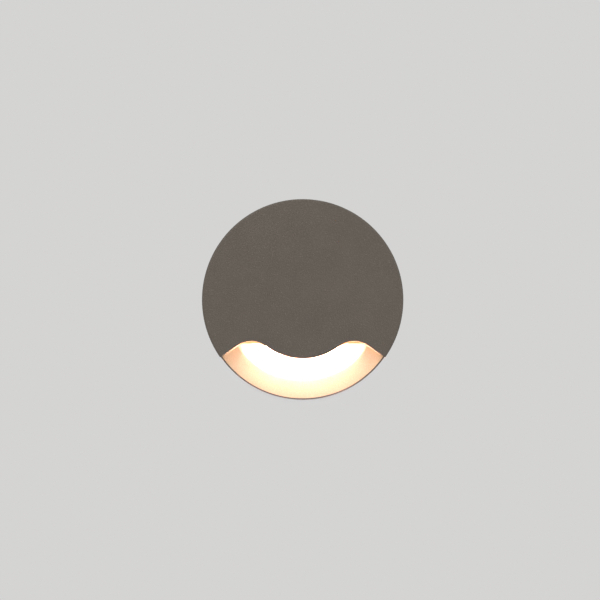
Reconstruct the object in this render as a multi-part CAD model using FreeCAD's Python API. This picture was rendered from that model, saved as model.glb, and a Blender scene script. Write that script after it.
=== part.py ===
import FreeCAD
import Part
import math
import os
from collections import namedtuple

# Recessed wall light with a crescent cut-out, in millimetres.
# The origin is the centre of the wall plane. +X is right, +Y goes into the wall, +Z is up.

# Face and cut-out
face_d = 80.0
face_proud = 8.0
face_plate = 2.0
face_wall = 1.5
face_round = 0.8
cut_inner_share = 0.5875
cut_half_angle = 55.0
cut_corner_share = 0.2375
cut_edge = 0.4
post_r = 3.0
post_hole_floor = 0.6
post_places_share = ((-0.5, 0.45), (0.5, 0.45), (-0.5, -0.125), (0.5, -0.125))

# Chassis casting
flange_t = 2.4
deck_rear = 1.0
spigot_share = 0.825
spigot_wall = 2.0
spigot_len = 8.0
groove_rim = 2.0
groove_width = 3.5
groove_depth = 0.6
boss_share = 0.72
boss_angles = (90.0, 200.0, 340.0)

# Scoop
scoop_wall = 1.0
scoop_hide = 0.3
scoop_show = 0.35
scoop_rim = 0.6
scoop_brow_share = 0.8125
scoop_brow_round = 3.0
scoop_bowl_in = 1.57
scoop_slope = 70.0
scoop_flare = 2.0
scoop_flare_in = 1.0

# Light engine behind the tongue of the face
engine_in_share = 0.383
engine_front = -5.5
engine_back_gap = 0.6
bracket_side = 0.5
bracket_t = 2.0
bracket_leg = 11.0
bracket_screw_share = 0.62
bracket_screw_rise = 6.0
pad_t = 0.3
pcb_side = 0.5
pcb_t = 1.0
pcb_front_gap = 0.3
chip_w = 3.0
chip_t = 0.7
chip_pitch_share = 0.67
lens_back = 1.1
lens_drop = 1.3
lens_wall = 0.6
lens_rim = 0.8
lens_seal_t = 0.3
lead_d = 1.2
lead_pitch = 3.0
lead_pad = 0.9
lead_bend_share = 0.3
lead_in = 2.0

# Driver can
can_seal_t = 0.8
can_share = 0.65
can_flat_cut = 1.5
can_wall = 2.0
can_len = 33.2
can_flange_in = 0.4
can_rib_h = 1.2
can_rib_w = 1.4
can_rib_end = 2.0
can_rib_angles = (62.0, 76.0, 104.0, 118.0, 242.0, 256.0, 284.0, 298.0)
grommet_neck_r = 2.6
grommet_lip = 0.8
cover_boss_r = 2.8
cover_boss_in = 3.7
cover_boss_len = 8.0
cover_boss_angles = (90.0, 210.0, 330.0)
earth_boss_r = 3.0
earth_boss_share = 0.783
earth_boss_angle = 130.4
earth_boss_drop = 5.0
earth_boss_len = 3.2
liner_gap = 0.3
liner_wall = 0.8
liner_end_gap = 0.5
liner_post_r = 2.6

# Driver board and what stands on it
board_w_share = 1.3077
board_h_share = 1.0
board_t = 1.6
board_rise = 4.9
board_hole_in = 2.8
core_w_share = 0.4118
core_h_share = 0.3654
core_deep = 12.0
core_leg = 2.4
core_mid_half = 1.8
core_yoke = 2.2
core_place_share = (-0.1176, -0.2231)
winding_over = 1.6
winding_gap = 0.15
big_cap_share = 0.1176
big_cap_len = 15.0
big_cap_place_share = (0.2412, -0.1077)
small_cap_share = 0.0735
small_cap_len = 10.0
small_cap_place_share = (0.2059, -0.3846)
cap_crimp = 0.4
cap_groove_up = 1.6
cap_groove = 0.8
choke_share = 0.0824
choke_len = 9.0
choke_core_r = 1.8
choke_flange = 1.0
choke_place_share = (-0.4118, -0.0577)
fuse_r = 1.6
fuse_len_share = 0.2692
fuse_cap_len = 1.6
fuse_cap_over = 0.2
fuse_place_share = (0.4353, -0.1346)
ic_w_share = 0.1471
ic_h = 3.4
ic_t = 1.7
ic_place_share = (0.3765, 0.1769)

# Mains terminal block
block_half_share = 0.2647
block_deep = 11.0
block_z0_share = 0.0962
block_h_share = 0.3846
pole_pitch_share = 0.1765
pole_count = 3
cage_w = 4.0
cage_h = 4.6
cage_deep = 6.0
cage_floor = 1.5
cage_wall = 1.3
cage_roof = 1.8
cage_side = 0.7
cage_gap = 0.1
entry_r = 1.4
earth_lead_d = 1.6
earth_lead_bend_share = 0.5
lug_t = 0.8
lug_in = 0.1
lug_barrel = 1.2
lug_grip = 1.1
earth_lug_reach = 3.0
washer_t = 0.5

# Rear cover and cable gland
cover_seal_t = 0.8
cover_t = 2.5
cover_round = 0.8
gland_thread_r = 8.0
gland_tail = 3.4
gland_bore_in = 3.5
gland_hex_over = 2.0
gland_hex_len = 4.0
gland_neck_in = 0.4
gland_neck_len = 7.2
gland_bush_in = 1.7
gland_bush_floor = 0.3
gland_bush_wall = 2.15
gland_seal_t = 1.0
gland_seal_over = 1.8
gland_nut_gap = 0.5
gland_nut_end = 4.3
gland_nut_taper = 2.4
gland_mouth_over = 0.65
locknut_over = 2.5
locknut_t = 3.0

# Spring clips
clip_pin_r = 1.0
clip_pin_out = 3.9
clip_pin_up = 3.0
clip_sheet = 1.2
clip_side_gap = 0.4
clip_base_up = 0.2
clip_base_long = 11.3
clip_ear_half = 2.7
clip_ear_out = 2.4
clip_head_r = 1.6
clip_head_t = 0.6
arm_sheet = 0.8
arm_half = 5.0
arm_offset = 3.5
arm_tail = 2.4
arm_ear_front = 7.0
arm_ear_low = 2.0
arm_heel_rise = 1.4
arm_stop_gap = 0.1
arm_knee_out = 9.9
arm_knee_down = 18.5
arm_knee_round = 1.8
arm_tip_out = 5.4
arm_tip_down = 8.7
sleeve_wall = 0.7
sleeve_start_share = 0.28
sleeve_end_share = 0.72
spring_wire = 0.8
spring_r = 2.0
spring_pitch = 1.25
spring_turns = 3
spring_leg_arm = 11.0
spring_leg_base = 7.5
spring_samples = 40
rivet_r = 1.2
rivet_head_r = 1.5
rivet_head_t = 0.8
rivet_up = 2.5
rivet_in = 2.0

# Screws, one kind in each line group, and how far each reaches past its seat
m3_head_r = 2.6
m3_head_h = 1.8
m3_shank_r = 1.5
m3_socket = 2.5
m3_socket_deep = 1.1
low_head_r = 2.4
low_head_h = 1.2
low_shank_r = 1.5
low_socket = 2.0
low_socket_deep = 0.8
small_head_r = 1.6
small_head_h = 0.6
small_shank_r = 0.9
small_socket = 1.3
small_socket_deep = 0.4
board_head_r = 2.0
board_head_h = 1.4
board_shank_r = 1.1
board_socket = 2.0
board_socket_deep = 0.8
clamp_head_r = 1.8
clamp_head_h = 1.6
clamp_shank_r = 1.0
clamp_socket = 1.8
clamp_socket_deep = 0.9
face_into = 4.6
low_into = 3.2
small_into = 2.8
board_into = 4.0
can_into = 4.0
cover_into = 5.0
screw_round_share = 0.35

# Fits
screw_gap = 0.05
pin_gap = 0.05
fit_gap = 0.3
overrun = 1.0

Screw = namedtuple("Screw", "head_r head_h shank_r socket socket_deep")
m3_screw = Screw(m3_head_r, m3_head_h, m3_shank_r, m3_socket, m3_socket_deep)
low_screw = Screw(low_head_r, low_head_h, low_shank_r, low_socket, low_socket_deep)
small_screw = Screw(small_head_r, small_head_h, small_shank_r, small_socket, small_socket_deep)
board_screw = Screw(board_head_r, board_head_h, board_shank_r, board_socket, board_socket_deep)
clamp_screw = Screw(clamp_head_r, clamp_head_h, clamp_shank_r, clamp_socket, clamp_socket_deep)

# Levels that the pieces share, worked out from the sizes above
face_r = face_d / 2.0
face_y = -face_proud
plate_y = face_y + face_plate
flange_y = -flange_t
cut_inner_r = face_r * cut_inner_share
cut_corner_r = face_r * cut_corner_share
spigot_r = face_r * spigot_share
spigot_in_r = spigot_r - spigot_wall
groove_out_r = face_r - groove_rim
groove_in_r = groove_out_r - groove_width
can_r = face_r * can_share
can_flat = can_r - can_flat_cut
can_flange_r = spigot_r - can_flange_in
boss_ring_r = can_r + m3_head_r + cage_gap
boss_r = (can_flange_r - boss_ring_r) * boss_share
cover_boss_ring_r = can_r - cover_boss_in
can_y0 = spigot_len + can_seal_t
can_floor_y = can_y0 + can_wall
can_y1 = can_y0 + can_len
can_in_r = can_r - can_wall
can_in_flat = can_flat - can_wall
cover_y0 = can_y1 + cover_seal_t
cover_y1 = cover_y0 + cover_t
liner_y0 = can_floor_y
liner_y1 = can_y1 - cover_boss_len - liner_end_gap
board_y0 = liner_y0 + liner_wall + board_rise
board_y1 = board_y0 + board_t
scoop_brow_r = face_r * scoop_brow_share
scoop_bowl_r = cut_inner_r - scoop_bowl_in
scoop_slope_run = (scoop_brow_r - scoop_bowl_r) / math.sin(math.radians(scoop_slope))
scoop_bowl_round = scoop_slope_run - scoop_brow_round
scoop_bowl_y = flange_y + scoop_brow_round - scoop_slope_run * math.cos(math.radians(scoop_slope))
scoop_back_y = scoop_bowl_y + scoop_bowl_round
engine_top = cut_inner_r * engine_in_share - cut_inner_r
engine_rear = scoop_back_y - engine_back_gap
pad_z = engine_top - pad_t
pcb_z = pad_z - pcb_t
lens_seal_z = pcb_z - lens_seal_t
lens_z = lens_seal_z - lens_drop
pcb_front = engine_front + pcb_front_gap
lead_z = pcb_z - lead_d / 2.0
lens_front = pcb_front + pcb_front_gap
lens_depth = engine_rear - lens_back - lens_front
lens_half = math.sqrt((cut_inner_r - scoop_hide - pin_gap) ** 2 - lens_z ** 2)
pcb_half = lens_half + pcb_side
bracket_half = pcb_half + bracket_side
bracket_screw_x = bracket_half * bracket_screw_share
chip_pitch = lens_half * chip_pitch_share
clip_base_x = can_flat + clip_sheet
clip_pin_x = can_flat + clip_pin_out
clip_pin_y = can_y1 - clip_pin_up
clip_base_half = arm_half + clip_side_gap + clip_sheet
clip_base_y1 = can_y1 - clip_base_up
clip_base_y0 = clip_base_y1 - clip_base_long
rivet_y = clip_base_y0 + rivet_up
rivet_z = clip_base_half - rivet_in
arm_knee_x = clip_pin_x + arm_knee_out
arm_knee_y = clip_pin_y - arm_knee_down
arm_tip_x = clip_pin_x + arm_tip_out
arm_tip_y = arm_knee_y - arm_tip_down
board_w = can_r * board_w_share
board_h = can_r * board_h_share
lead_rise = lead_in - lead_z - board_h / 2.0
lead_bend = lead_rise * lead_bend_share
core_w = board_w * core_w_share
core_h = board_h * core_h_share
big_cap_r = board_w * big_cap_share
small_cap_r = board_w * small_cap_share
choke_r = board_w * choke_share
fuse_len = board_h * fuse_len_share
ic_w = board_w * ic_w_share
block_half = board_w * block_half_share
block_z0 = board_h * block_z0_share
block_h = board_h * block_h_share
pole_pitch = board_w * pole_pitch_share
earth_lead_bend = pole_pitch * earth_lead_bend_share
earth_y = can_y1 - earth_boss_drop
cage_y0 = board_y1 + cage_floor
cage_z = block_z0 + block_h / 2.0
pole_wire_y = cage_y0 + cage_wall + earth_lead_d / 2.0 + pin_gap
gland_bore_r = gland_thread_r - gland_bore_in
gland_hex = (gland_thread_r + gland_hex_over) * 2.0
gland_neck_r = gland_thread_r - gland_neck_in
gland_bush_r = gland_neck_r - gland_bush_in
gland_cable_r = gland_bush_r - gland_bush_wall
gland_mouth_r = gland_cable_r + gland_mouth_over
gland_seal_r = gland_thread_r + gland_seal_over
locknut_hex = (gland_thread_r + locknut_over) * 2.0
gland_hex_y0 = cover_y1 + gland_seal_t
gland_hex_y1 = gland_hex_y0 + gland_hex_len
gland_neck_y1 = gland_hex_y1 + gland_neck_len
gland_bush_y0 = gland_hex_y1 + gland_bush_floor
earth_boss_x = can_r * earth_boss_share * math.cos(math.radians(earth_boss_angle))
earth_boss_z = can_r * earth_boss_share * math.sin(math.radians(earth_boss_angle))
earth_lug_end = earth_boss_x + earth_lug_reach


# Shape helpers

def V(x, y, z):
    return FreeCAD.Vector(x, y, z)


def block(x0, x1, y0, y1, z0, z1):
    return Part.makeBox(x1 - x0, y1 - y0, z1 - z0, V(x0, y0, z0))


def rod(radius, start, end):
    return Part.makeCylinder(radius, (end - start).Length, start, end - start)


def rod_y(radius, y0, y1, x=0.0, z=0.0):
    return rod(radius, V(x, y0, z), V(x, y1, z))


def ring_y(outer, inner, y0, y1, x=0.0, z=0.0):
    length = y1 - y0
    bore = rod_y(inner, y0 - length, y1 + length, x, z)
    return rod_y(outer, y0, y1, x, z).cut(bore)


def polar(radius, degrees):
    angle = math.radians(degrees)
    return radius * math.cos(angle), radius * math.sin(angle)


def prism(points, lift):
    wire = Part.makePolygon(list(points) + [points[0]])
    return Part.Face(wire).extrude(lift)


def hex_y(flats, y0, y1):
    corners = [polar(flats / math.sqrt(3.0), 60.0 * step) for step in range(6)]
    return prism([V(x, y0, z) for x, z in corners], V(0, y1 - y0, 0))


def cut_all(shape, tools):
    for tool in tools:
        shape = shape.cut(tool)
    return shape


def both_sides(shape):
    return shape, shape.mirror(V(0, 0, 0), V(1, 0, 0))


def rounded(shape, radius, wanted):
    edges = [edge for edge in shape.Edges if wanted(edge)]
    return shape.makeFillet(radius, edges)


def circle_at(radius, level):
    def wanted(edge):
        centre = getattr(edge.Curve, "Center", None)
        if centre is None or edge.Curve.TypeId != "Part::GeomCircle":
            return False
        same_size = math.isclose(edge.Curve.Radius, radius, rel_tol=1e-6)
        return same_size and math.isclose(centre.y, level, rel_tol=1e-6, abs_tol=1e-6)
    return wanted


def all_at(level):
    def wanted(edge):
        return all(math.isclose(vertex.Point.y, level) for vertex in edge.Vertexes)
    return wanted


def screw(sizes, seat, way, length):
    def on_top(edge):
        return edge.Curve.TypeId == "Part::GeomCircle" and edge.CenterOfMass.z > sizes.head_h / 2.0

    head = Part.makeCylinder(sizes.head_r, sizes.head_h)
    head = rounded(head, sizes.head_h * screw_round_share, on_top)
    shank = Part.makeCylinder(sizes.shank_r, length, V(0, 0, -length))
    corners = [polar(sizes.socket / math.sqrt(3.0), 60.0 * step) for step in range(6)]
    floor = sizes.head_h - sizes.socket_deep
    hexagon = prism([V(x, y, floor) for x, y in corners], V(0, 0, sizes.head_h))
    body = head.fuse(shank).cut(hexagon)
    body.Placement = FreeCAD.Placement(seat, FreeCAD.Rotation(V(0, 0, 1), V(*way)))
    return body


def on_board(shares):
    return board_w * shares[0], board_h * shares[1]


def hole_y(sizes, y0, y1, x, z):
    return rod_y(sizes.shank_r + screw_gap, y0, y1, x, z)


def save(name, solids):
    shape = solids[0] if len(solids) == 1 else Part.makeCompound(solids)
    for solid in solids:
        if len(solid.Solids) != 1 or not solid.isValid():
            print("check", name, "solids", len(solid.Solids), "valid", solid.isValid())
    shape.exportStep("parts/" + name + ".step")


# Crescent outline: a ring sector open at the rim, its two inner corners round.
# grow moves the whole outline outwards by one distance.

def crescent_wire(grow, reach, y):
    down = math.radians(90.0 - cut_half_angle)
    along = V(math.cos(down), 0, -math.sin(down))
    normal = V(math.sin(down), 0, math.cos(down))
    centre_r = cut_inner_r + cut_corner_r
    shift = math.sqrt(centre_r ** 2 - cut_corner_r ** 2)
    centre = along * shift - normal * cut_corner_r
    corner_r = cut_corner_r + grow
    inner_r = cut_inner_r - grow
    to_middle = centre * (-1.0 / centre_r)
    halfway = (normal + to_middle).normalize()
    rim = normal * grow + along * math.sqrt(reach ** 2 - grow ** 2)
    line_end = centre + normal * corner_r
    arc_mid = centre + halfway * corner_r
    arc_end = centre + to_middle * corner_r

    def right(point):
        return V(point.x, y, point.z)

    def left(point):
        return V(-point.x, y, point.z)

    edges = [
        Part.LineSegment(right(rim), right(line_end)).toShape(),
        Part.Arc(right(line_end), right(arc_mid), right(arc_end)).toShape(),
        Part.Arc(right(arc_end), V(0, y, -inner_r), left(arc_end)).toShape(),
        Part.Arc(left(arc_end), left(arc_mid), left(line_end)).toShape(),
        Part.LineSegment(left(line_end), left(rim)).toShape(),
        Part.Arc(left(rim), V(0, y, -reach), right(rim)).toShape(),
    ]
    return Part.Wire(edges)


def crescent(grow, reach, y0, y1):
    return Part.Face(crescent_wire(grow, reach, y0)).extrude(V(0, y1 - y0, 0))


# Room in front of the scoop's floor, with the floor set back by depth.
# The floor is turned about Y: a flat lip, a round brow and a hollow bowl.

def scoop_room(depth, front, reach):
    slope = math.radians(scoop_slope)
    brow = V(scoop_brow_r, flange_y + scoop_brow_round, 0)
    bowl = V(scoop_bowl_r, scoop_bowl_y, 0)
    brow_r = scoop_brow_round - depth
    bowl_r = scoop_bowl_round + depth

    def on_brow(angle):
        return brow - V(math.sin(angle), math.cos(angle), 0) * brow_r

    def on_bowl(angle):
        return bowl + V(math.sin(angle), math.cos(angle), 0) * bowl_r

    lip_y = flange_y + depth
    back_y = bowl.y + bowl_r
    edges = [
        Part.LineSegment(V(0, front, 0), V(reach, front, 0)).toShape(),
        Part.LineSegment(V(reach, front, 0), V(reach, lip_y, 0)).toShape(),
        Part.LineSegment(V(reach, lip_y, 0), V(scoop_brow_r, lip_y, 0)).toShape(),
        Part.Arc(on_brow(0), on_brow(slope / 2.0), on_brow(slope)).toShape(),
        Part.Arc(on_brow(slope), on_bowl(slope / 2.0), on_bowl(0)).toShape(),
        Part.LineSegment(on_bowl(0), V(0, back_y, 0)).toShape(),
        Part.LineSegment(V(0, back_y, 0), V(0, front, 0)).toShape(),
    ]
    return Part.Face(Part.Wire(edges)).revolve(V(0, 0, 0), V(0, 1, 0), 360)


def post_places():
    return [(x * face_r, z * face_r) for x, z in post_places_share]


# Face cap: the round cover, with its crescent cut-out and four posts behind it

def face_cap():
    cap = rod_y(face_r, face_y, flange_y).cut(rod_y(face_r - face_wall, plate_y, flange_y + overrun))
    cap = rounded(cap, face_round, circle_at(face_r, face_y))
    cap = cap.cut(crescent(0, face_r + overrun, face_y - overrun, flange_y + overrun))
    wide = crescent_wire(cut_edge + overrun, face_r + overrun * 2.0, face_y - overrun)
    narrow = crescent_wire(0, face_r + overrun * 2.0, face_y + cut_edge)
    cap = cap.cut(Part.makeLoft([wide, narrow], True, True))
    for x, z in post_places():
        cap = cap.fuse(rod_y(post_r, plate_y, flange_y, x, z))
    for x, z in post_places():
        cap = cap.cut(hole_y(m3_screw, plate_y + post_hole_floor, flange_y + overrun, x, z))
    return cap


def face_screws():
    length = deck_rear - flange_y + face_into - m3_head_h
    return [screw(m3_screw, V(x, deck_rear, z), (0, 1, 0), length) for x, z in post_places()]


# Chassis: flange, deck and spigot, hollowed for the scoop and the light engine

def chassis():
    body = rod_y(face_r, flange_y, 0).fuse(rod_y(spigot_r, 0, spigot_len))
    body = body.cut(rod_y(spigot_in_r, deck_rear, spigot_len + overrun))
    body = body.cut(ring_y(groove_out_r, groove_in_r, -groove_depth, spigot_len))
    for angle in boss_angles:
        x, z = polar(boss_ring_r, angle)
        body = body.fuse(rod_y(boss_r, deck_rear - overrun, can_y0, x, z))
    grow = scoop_hide + scoop_wall + fit_gap
    lip_floor = flange_y + scoop_wall
    body = body.cut(crescent(grow, face_r - scoop_rim + screw_gap, flange_y - overrun, lip_floor))
    bowl = scoop_room(scoop_wall + fit_gap, flange_y - overrun, face_r)
    body = body.cut(bowl.common(crescent(grow, scoop_brow_r, flange_y - overrun * 2.0, spigot_len)))
    half = bracket_half + fit_gap
    window_top = engine_top + bracket_t + fit_gap
    body = body.cut(block(-half, half, flange_y - overrun, deck_rear + overrun, -cut_inner_r, window_top))
    for x, z in post_places():
        body = body.cut(hole_y(m3_screw, flange_y - overrun, deck_rear + overrun, x, z))
    for x, z in bracket_places():
        body = body.cut(hole_y(low_screw, flange_y - overrun, deck_rear + overrun, x, z))
    for angle in boss_angles:
        x, z = polar(boss_ring_r, angle)
        body = body.cut(hole_y(m3_screw, deck_rear, can_y0 + overrun, x, z))
    return body


def wall_gasket():
    return ring_y(groove_out_r - pin_gap, groove_in_r + pin_gap, -groove_depth, 0)


# Scoop: the white insert that throws the light down the wall

def light_scoop():
    grow = scoop_hide + scoop_wall
    back = scoop_back_y + scoop_wall
    walls = crescent(grow, face_r - face_wall - fit_gap, plate_y, back + overrun)
    lip = crescent(grow, face_r - scoop_rim, flange_y, back + overrun)
    solid = walls.fuse(lip).common(scoop_room(scoop_wall, plate_y - overrun, face_r))
    reach = face_r + overrun
    mouth = crescent_wire(scoop_hide, reach, plate_y)
    hollow = Part.makeLoft([mouth, crescent_wire(-scoop_show, reach, flange_y)], True, True)
    hollow = hollow.fuse(crescent(-scoop_show, reach, flange_y, back))
    solid = solid.cut(hollow.common(scoop_room(0, plate_y - overrun, reach + overrun)))
    half = pcb_half + fit_gap
    rear = engine_rear + fit_gap
    window = block(-half, half, plate_y - overrun, rear, -cut_inner_r - overrun, engine_top)
    solid = solid.cut(window.common(rod_y(cut_inner_r + scoop_show, plate_y - overrun, rear)))
    spread = lens_half + scoop_flare
    flare_rear = engine_rear - scoop_flare_in
    flare = block(-spread, spread, plate_y - overrun, flare_rear, -cut_inner_r - scoop_flare, lens_z)
    return solid.cut(flare.common(rod_y(cut_inner_r + scoop_flare, plate_y - overrun, flare_rear)))


# Light engine: bracket, pad, board, chips, seal and lens, facing down

def bracket_places():
    z = engine_top + bracket_screw_rise
    return [(-bracket_screw_x, z), (bracket_screw_x, z)]


def chip_places():
    return [-chip_pitch, 0.0, chip_pitch]


def engine_screw_places():
    return [-chip_pitch / 2.0, chip_pitch / 2.0]


def lens_middle_y():
    return lens_front + lens_depth / 2.0


def led_bracket():
    shelf = block(-bracket_half, bracket_half, engine_front, engine_rear, engine_top, engine_top + bracket_t)
    leg_top = engine_top + bracket_leg
    leg = block(-bracket_half, bracket_half, flange_y - bracket_t, flange_y, engine_top, leg_top)
    body = shelf.fuse(leg).removeSplitter()
    for x, z in bracket_places():
        body = body.cut(hole_y(low_screw, engine_front, flange_y + overrun, x, z))
    for x in engine_screw_places():
        foot = V(x, lens_middle_y(), engine_top - overrun)
        body = body.cut(rod(small_screw.shank_r + screw_gap, foot, foot + V(0, 0, bracket_t + overrun * 2.0)))
    return body


def bracket_screws():
    seat = flange_y - bracket_t
    return [screw(low_screw, V(x, seat, z), (0, -1, 0), bracket_t + low_into) for x, z in bracket_places()]


def engine_plate(half, top, bottom):
    plate = block(-half, half, pcb_front, engine_rear, bottom, top)
    for x in engine_screw_places():
        foot = V(x, lens_middle_y(), bottom - overrun)
        head = V(x, lens_middle_y(), top + overrun)
        plate = plate.cut(rod(small_screw.shank_r + screw_gap, foot, head))
    return plate


def thermal_pad():
    return engine_plate(pcb_half, engine_top, pad_z)


def led_board():
    return engine_plate(pcb_half, pad_z, pcb_z)


def led_chips():
    half = chip_w / 2.0
    y = lens_middle_y()
    return [block(x - half, x + half, y - half, y + half, pcb_z - chip_t, pcb_z) for x in chip_places()]


def board_screws():
    seats = [V(x, lens_middle_y(), pcb_z) for x in engine_screw_places()]
    return [screw(small_screw, seat, (0, 0, -1), small_into) for seat in seats]


def lens_frame(top, bottom):
    y1 = lens_front + lens_depth
    outer = block(-lens_half, lens_half, lens_front, y1, bottom, top)
    half = lens_half - lens_rim
    return outer, block(-half, half, lens_front + lens_rim, y1 - lens_rim, bottom - overrun, top + overrun)


def lens_gasket():
    outer, inner = lens_frame(pcb_z, lens_seal_z)
    return outer.cut(inner)


def led_lens():
    outer, inner = lens_frame(lens_seal_z, lens_z)
    roof = block(-lens_half, lens_half, engine_front, engine_rear, lens_z + lens_wall, lens_seal_z + overrun)
    return outer.cut(inner.common(roof))


# Leads from the board back to the driver, through one grommet

def lead_wire(x):
    start = V(x, engine_rear - lead_pad, lead_z)
    turn_y = board_y0 - lead_bend * 2.0
    rise_z = lead_z + lead_rise - lead_bend
    half = lead_bend * math.sqrt(0.5)
    first = V(x, turn_y, lead_z)
    first_mid = V(x, turn_y + half, lead_z + lead_bend - half)
    first_end = V(x, turn_y + lead_bend, lead_z + lead_bend)
    second = V(x, turn_y + lead_bend, rise_z)
    second_mid = V(x, turn_y + lead_bend * 2.0 - half, rise_z + half)
    end = V(x, board_y0, rise_z + lead_bend)
    path = Part.Wire([
        Part.LineSegment(start, first).toShape(),
        Part.Arc(first, first_mid, first_end).toShape(),
        Part.LineSegment(first_end, second).toShape(),
        Part.Arc(second, second_mid, end).toShape(),
    ])
    return swept(path, lead_d / 2.0, start, V(0, 1, 0))


def swept(path, radius, start, way):
    ring = Part.Wire([Part.Circle(start, way, radius).toShape()])
    return path.makePipeShell([ring], True, False)


def lead_grommet():
    neck_r = grommet_neck_r - pin_gap
    lip_r = grommet_neck_r + grommet_lip
    body = rod_y(neck_r, can_y0 - grommet_lip, can_floor_y + grommet_lip, 0, lead_z)
    body = body.fuse(rod_y(lip_r, can_y0 - grommet_lip, can_y0, 0, lead_z))
    body = body.fuse(rod_y(lip_r, can_floor_y, can_floor_y + grommet_lip, 0, lead_z)).removeSplitter()
    for x in (-lead_pitch / 2.0, lead_pitch / 2.0):
        body = body.cut(rod_y(lead_d / 2.0 + pin_gap, spigot_len - overrun, board_y0, x, lead_z))
    return body


# Driver can: a round shell with a flat on each side for the spring clips

def can_form(radius, flat, y0, y1):
    return rod_y(radius, y0, y1).common(block(-flat, flat, y0, y1, -radius, radius))


def cover_places():
    return [polar(cover_boss_ring_r, angle) for angle in cover_boss_angles]


def boss_places():
    return [polar(boss_ring_r, angle) for angle in boss_angles]


def earth_boss():
    far = math.hypot(earth_boss_x, earth_boss_z)
    out_x = earth_boss_r * earth_boss_x / far
    out_z = earth_boss_r * earth_boss_z / far
    near = rod_y(earth_boss_r, earth_y - earth_boss_len, earth_y, earth_boss_x, earth_boss_z)
    wide = rod_y(earth_boss_r, earth_y - earth_boss_len, earth_y, earth_boss_x + out_x, earth_boss_z + out_z)
    return near.fuse(wide)


# Cooling rib along the can, clear of the clips and of the screws in the flange

def can_rib(angle):
    start = can_floor_y - can_wall / 2.0
    rib = block(can_r - can_wall / 2.0, can_r + can_rib_h, start, can_y1 - can_rib_end,
                -can_rib_w / 2.0, can_rib_w / 2.0)
    rib.rotate(V(0, 0, 0), V(0, 1, 0), -angle)
    return rib


def driver_can():
    body = rod_y(can_flange_r, can_y0, can_floor_y).fuse(can_form(can_r, can_flat, can_y0, can_y1))
    body = body.cut(can_form(can_in_r, can_in_flat, can_floor_y, can_y1 + overrun))
    outer = can_form(can_r, can_flat, can_floor_y, can_y1)
    for x, z in cover_places():
        body = body.fuse(rod_y(cover_boss_r, can_y1 - cover_boss_len, can_y1, x, z).common(outer))
    body = body.fuse(earth_boss().common(outer))
    for angle in can_rib_angles:
        body = body.fuse(can_rib(angle))
    holes = [hole_y(m3_screw, can_y0 - overrun, can_floor_y + overrun, x, z) for x, z in boss_places()]
    holes += [hole_y(m3_screw, can_y1 - cover_boss_len, can_y1 + overrun, x, z) for x, z in cover_places()]
    holes.append(hole_y(m3_screw, earth_y - earth_boss_len, earth_y + overrun, earth_boss_x, earth_boss_z))
    holes.append(rod_y(grommet_neck_r, can_y0 - overrun, can_floor_y + overrun, 0, lead_z))
    for hole in rivet_rods(rivet_r + screw_gap):
        holes.append(hole)
    return cut_all(body, holes)


def can_seal():
    body = ring_y(can_flange_r, spigot_in_r, spigot_len, can_y0)
    return cut_all(body, [rod_y(boss_r + screw_gap, spigot_len - overrun, can_y0 + overrun, x, z)
                          for x, z in boss_places()])


def can_screws():
    return [screw(m3_screw, V(x, can_floor_y, z), (0, 1, 0), can_wall + can_into) for x, z in boss_places()]


def driver_liner():
    outer_r = can_in_r - liner_gap
    outer_flat = can_in_flat - liner_gap
    floor = liner_y0 + liner_wall
    body = can_form(outer_r, outer_flat, liner_y0, liner_y1)
    body = body.cut(can_form(outer_r - liner_wall, outer_flat - liner_wall, floor, liner_y1 + overrun))
    for x, z in board_places():
        body = body.fuse(rod_y(liner_post_r, liner_y0, board_y0, x, z))
    holes = [hole_y(board_screw, floor, board_y0 + overrun, x, z) for x, z in board_places()]
    grommet_r = grommet_neck_r + grommet_lip + fit_gap
    holes.append(rod_y(grommet_r, liner_y0 - overrun, floor + overrun, 0, lead_z))
    return cut_all(body, holes)


# Driver board and the pieces on it

def board_places():
    x = board_w / 2.0 - board_hole_in
    z = board_h / 2.0 - board_hole_in
    return [(-x, -z), (x, -z), (-x, z), (x, z)]


def driver_board():
    body = block(-board_w / 2.0, board_w / 2.0, board_y0, board_y1, -board_h / 2.0, board_h / 2.0)
    holes = [hole_y(board_screw, board_y0 - overrun, board_y1 + overrun, x, z) for x, z in board_places()]
    return cut_all(body, holes)


def driver_screws():
    length = board_t + board_into
    return [screw(board_screw, V(x, board_y1, z), (0, 1, 0), length) for x, z in board_places()]


def core_block(half_x, inset, half_z):
    core_x, core_z = on_board(core_place_share)
    y0 = board_y1 + inset
    y1 = board_y1 + core_deep - inset
    return block(core_x - half_x, core_x + half_x, y0, y1, core_z - half_z, core_z + half_z)


def transformer_core():
    room = core_block(core_w / 2.0 - core_leg, core_yoke, core_h)
    return core_block(core_w / 2.0, 0, core_h / 2.0).cut(room.cut(core_block(core_mid_half, 0, core_h)))


def transformer_winding():
    outer = core_block(core_w / 2.0 - core_leg - winding_gap, core_yoke + winding_gap,
                       core_h / 2.0 + winding_over)
    return outer.cut(core_block(core_mid_half + winding_gap, 0, core_h / 2.0 + winding_gap))


def capacitor(radius, length, shares):
    x, z = on_board(shares)
    body = rod_y(radius, board_y1, board_y1 + length, x, z)
    body = rounded(body, cap_crimp, circle_at(radius, board_y1 + length))
    groove_y = board_y1 + cap_groove_up
    return body.cut(ring_y(radius + overrun, radius - cap_crimp, groove_y, groove_y + cap_groove, x, z))


def driver_capacitors():
    big = capacitor(big_cap_r, big_cap_len, big_cap_place_share)
    return [big, capacitor(small_cap_r, small_cap_len, small_cap_place_share)]


def driver_choke():
    choke_x, choke_z = on_board(choke_place_share)
    end = board_y1 + choke_len
    body = rod_y(choke_core_r, board_y1, end, choke_x, choke_z)
    body = body.fuse(rod_y(choke_r, board_y1, board_y1 + choke_flange, choke_x, choke_z))
    return body.fuse(rod_y(choke_r, end - choke_flange, end, choke_x, choke_z)).removeSplitter()


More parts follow.
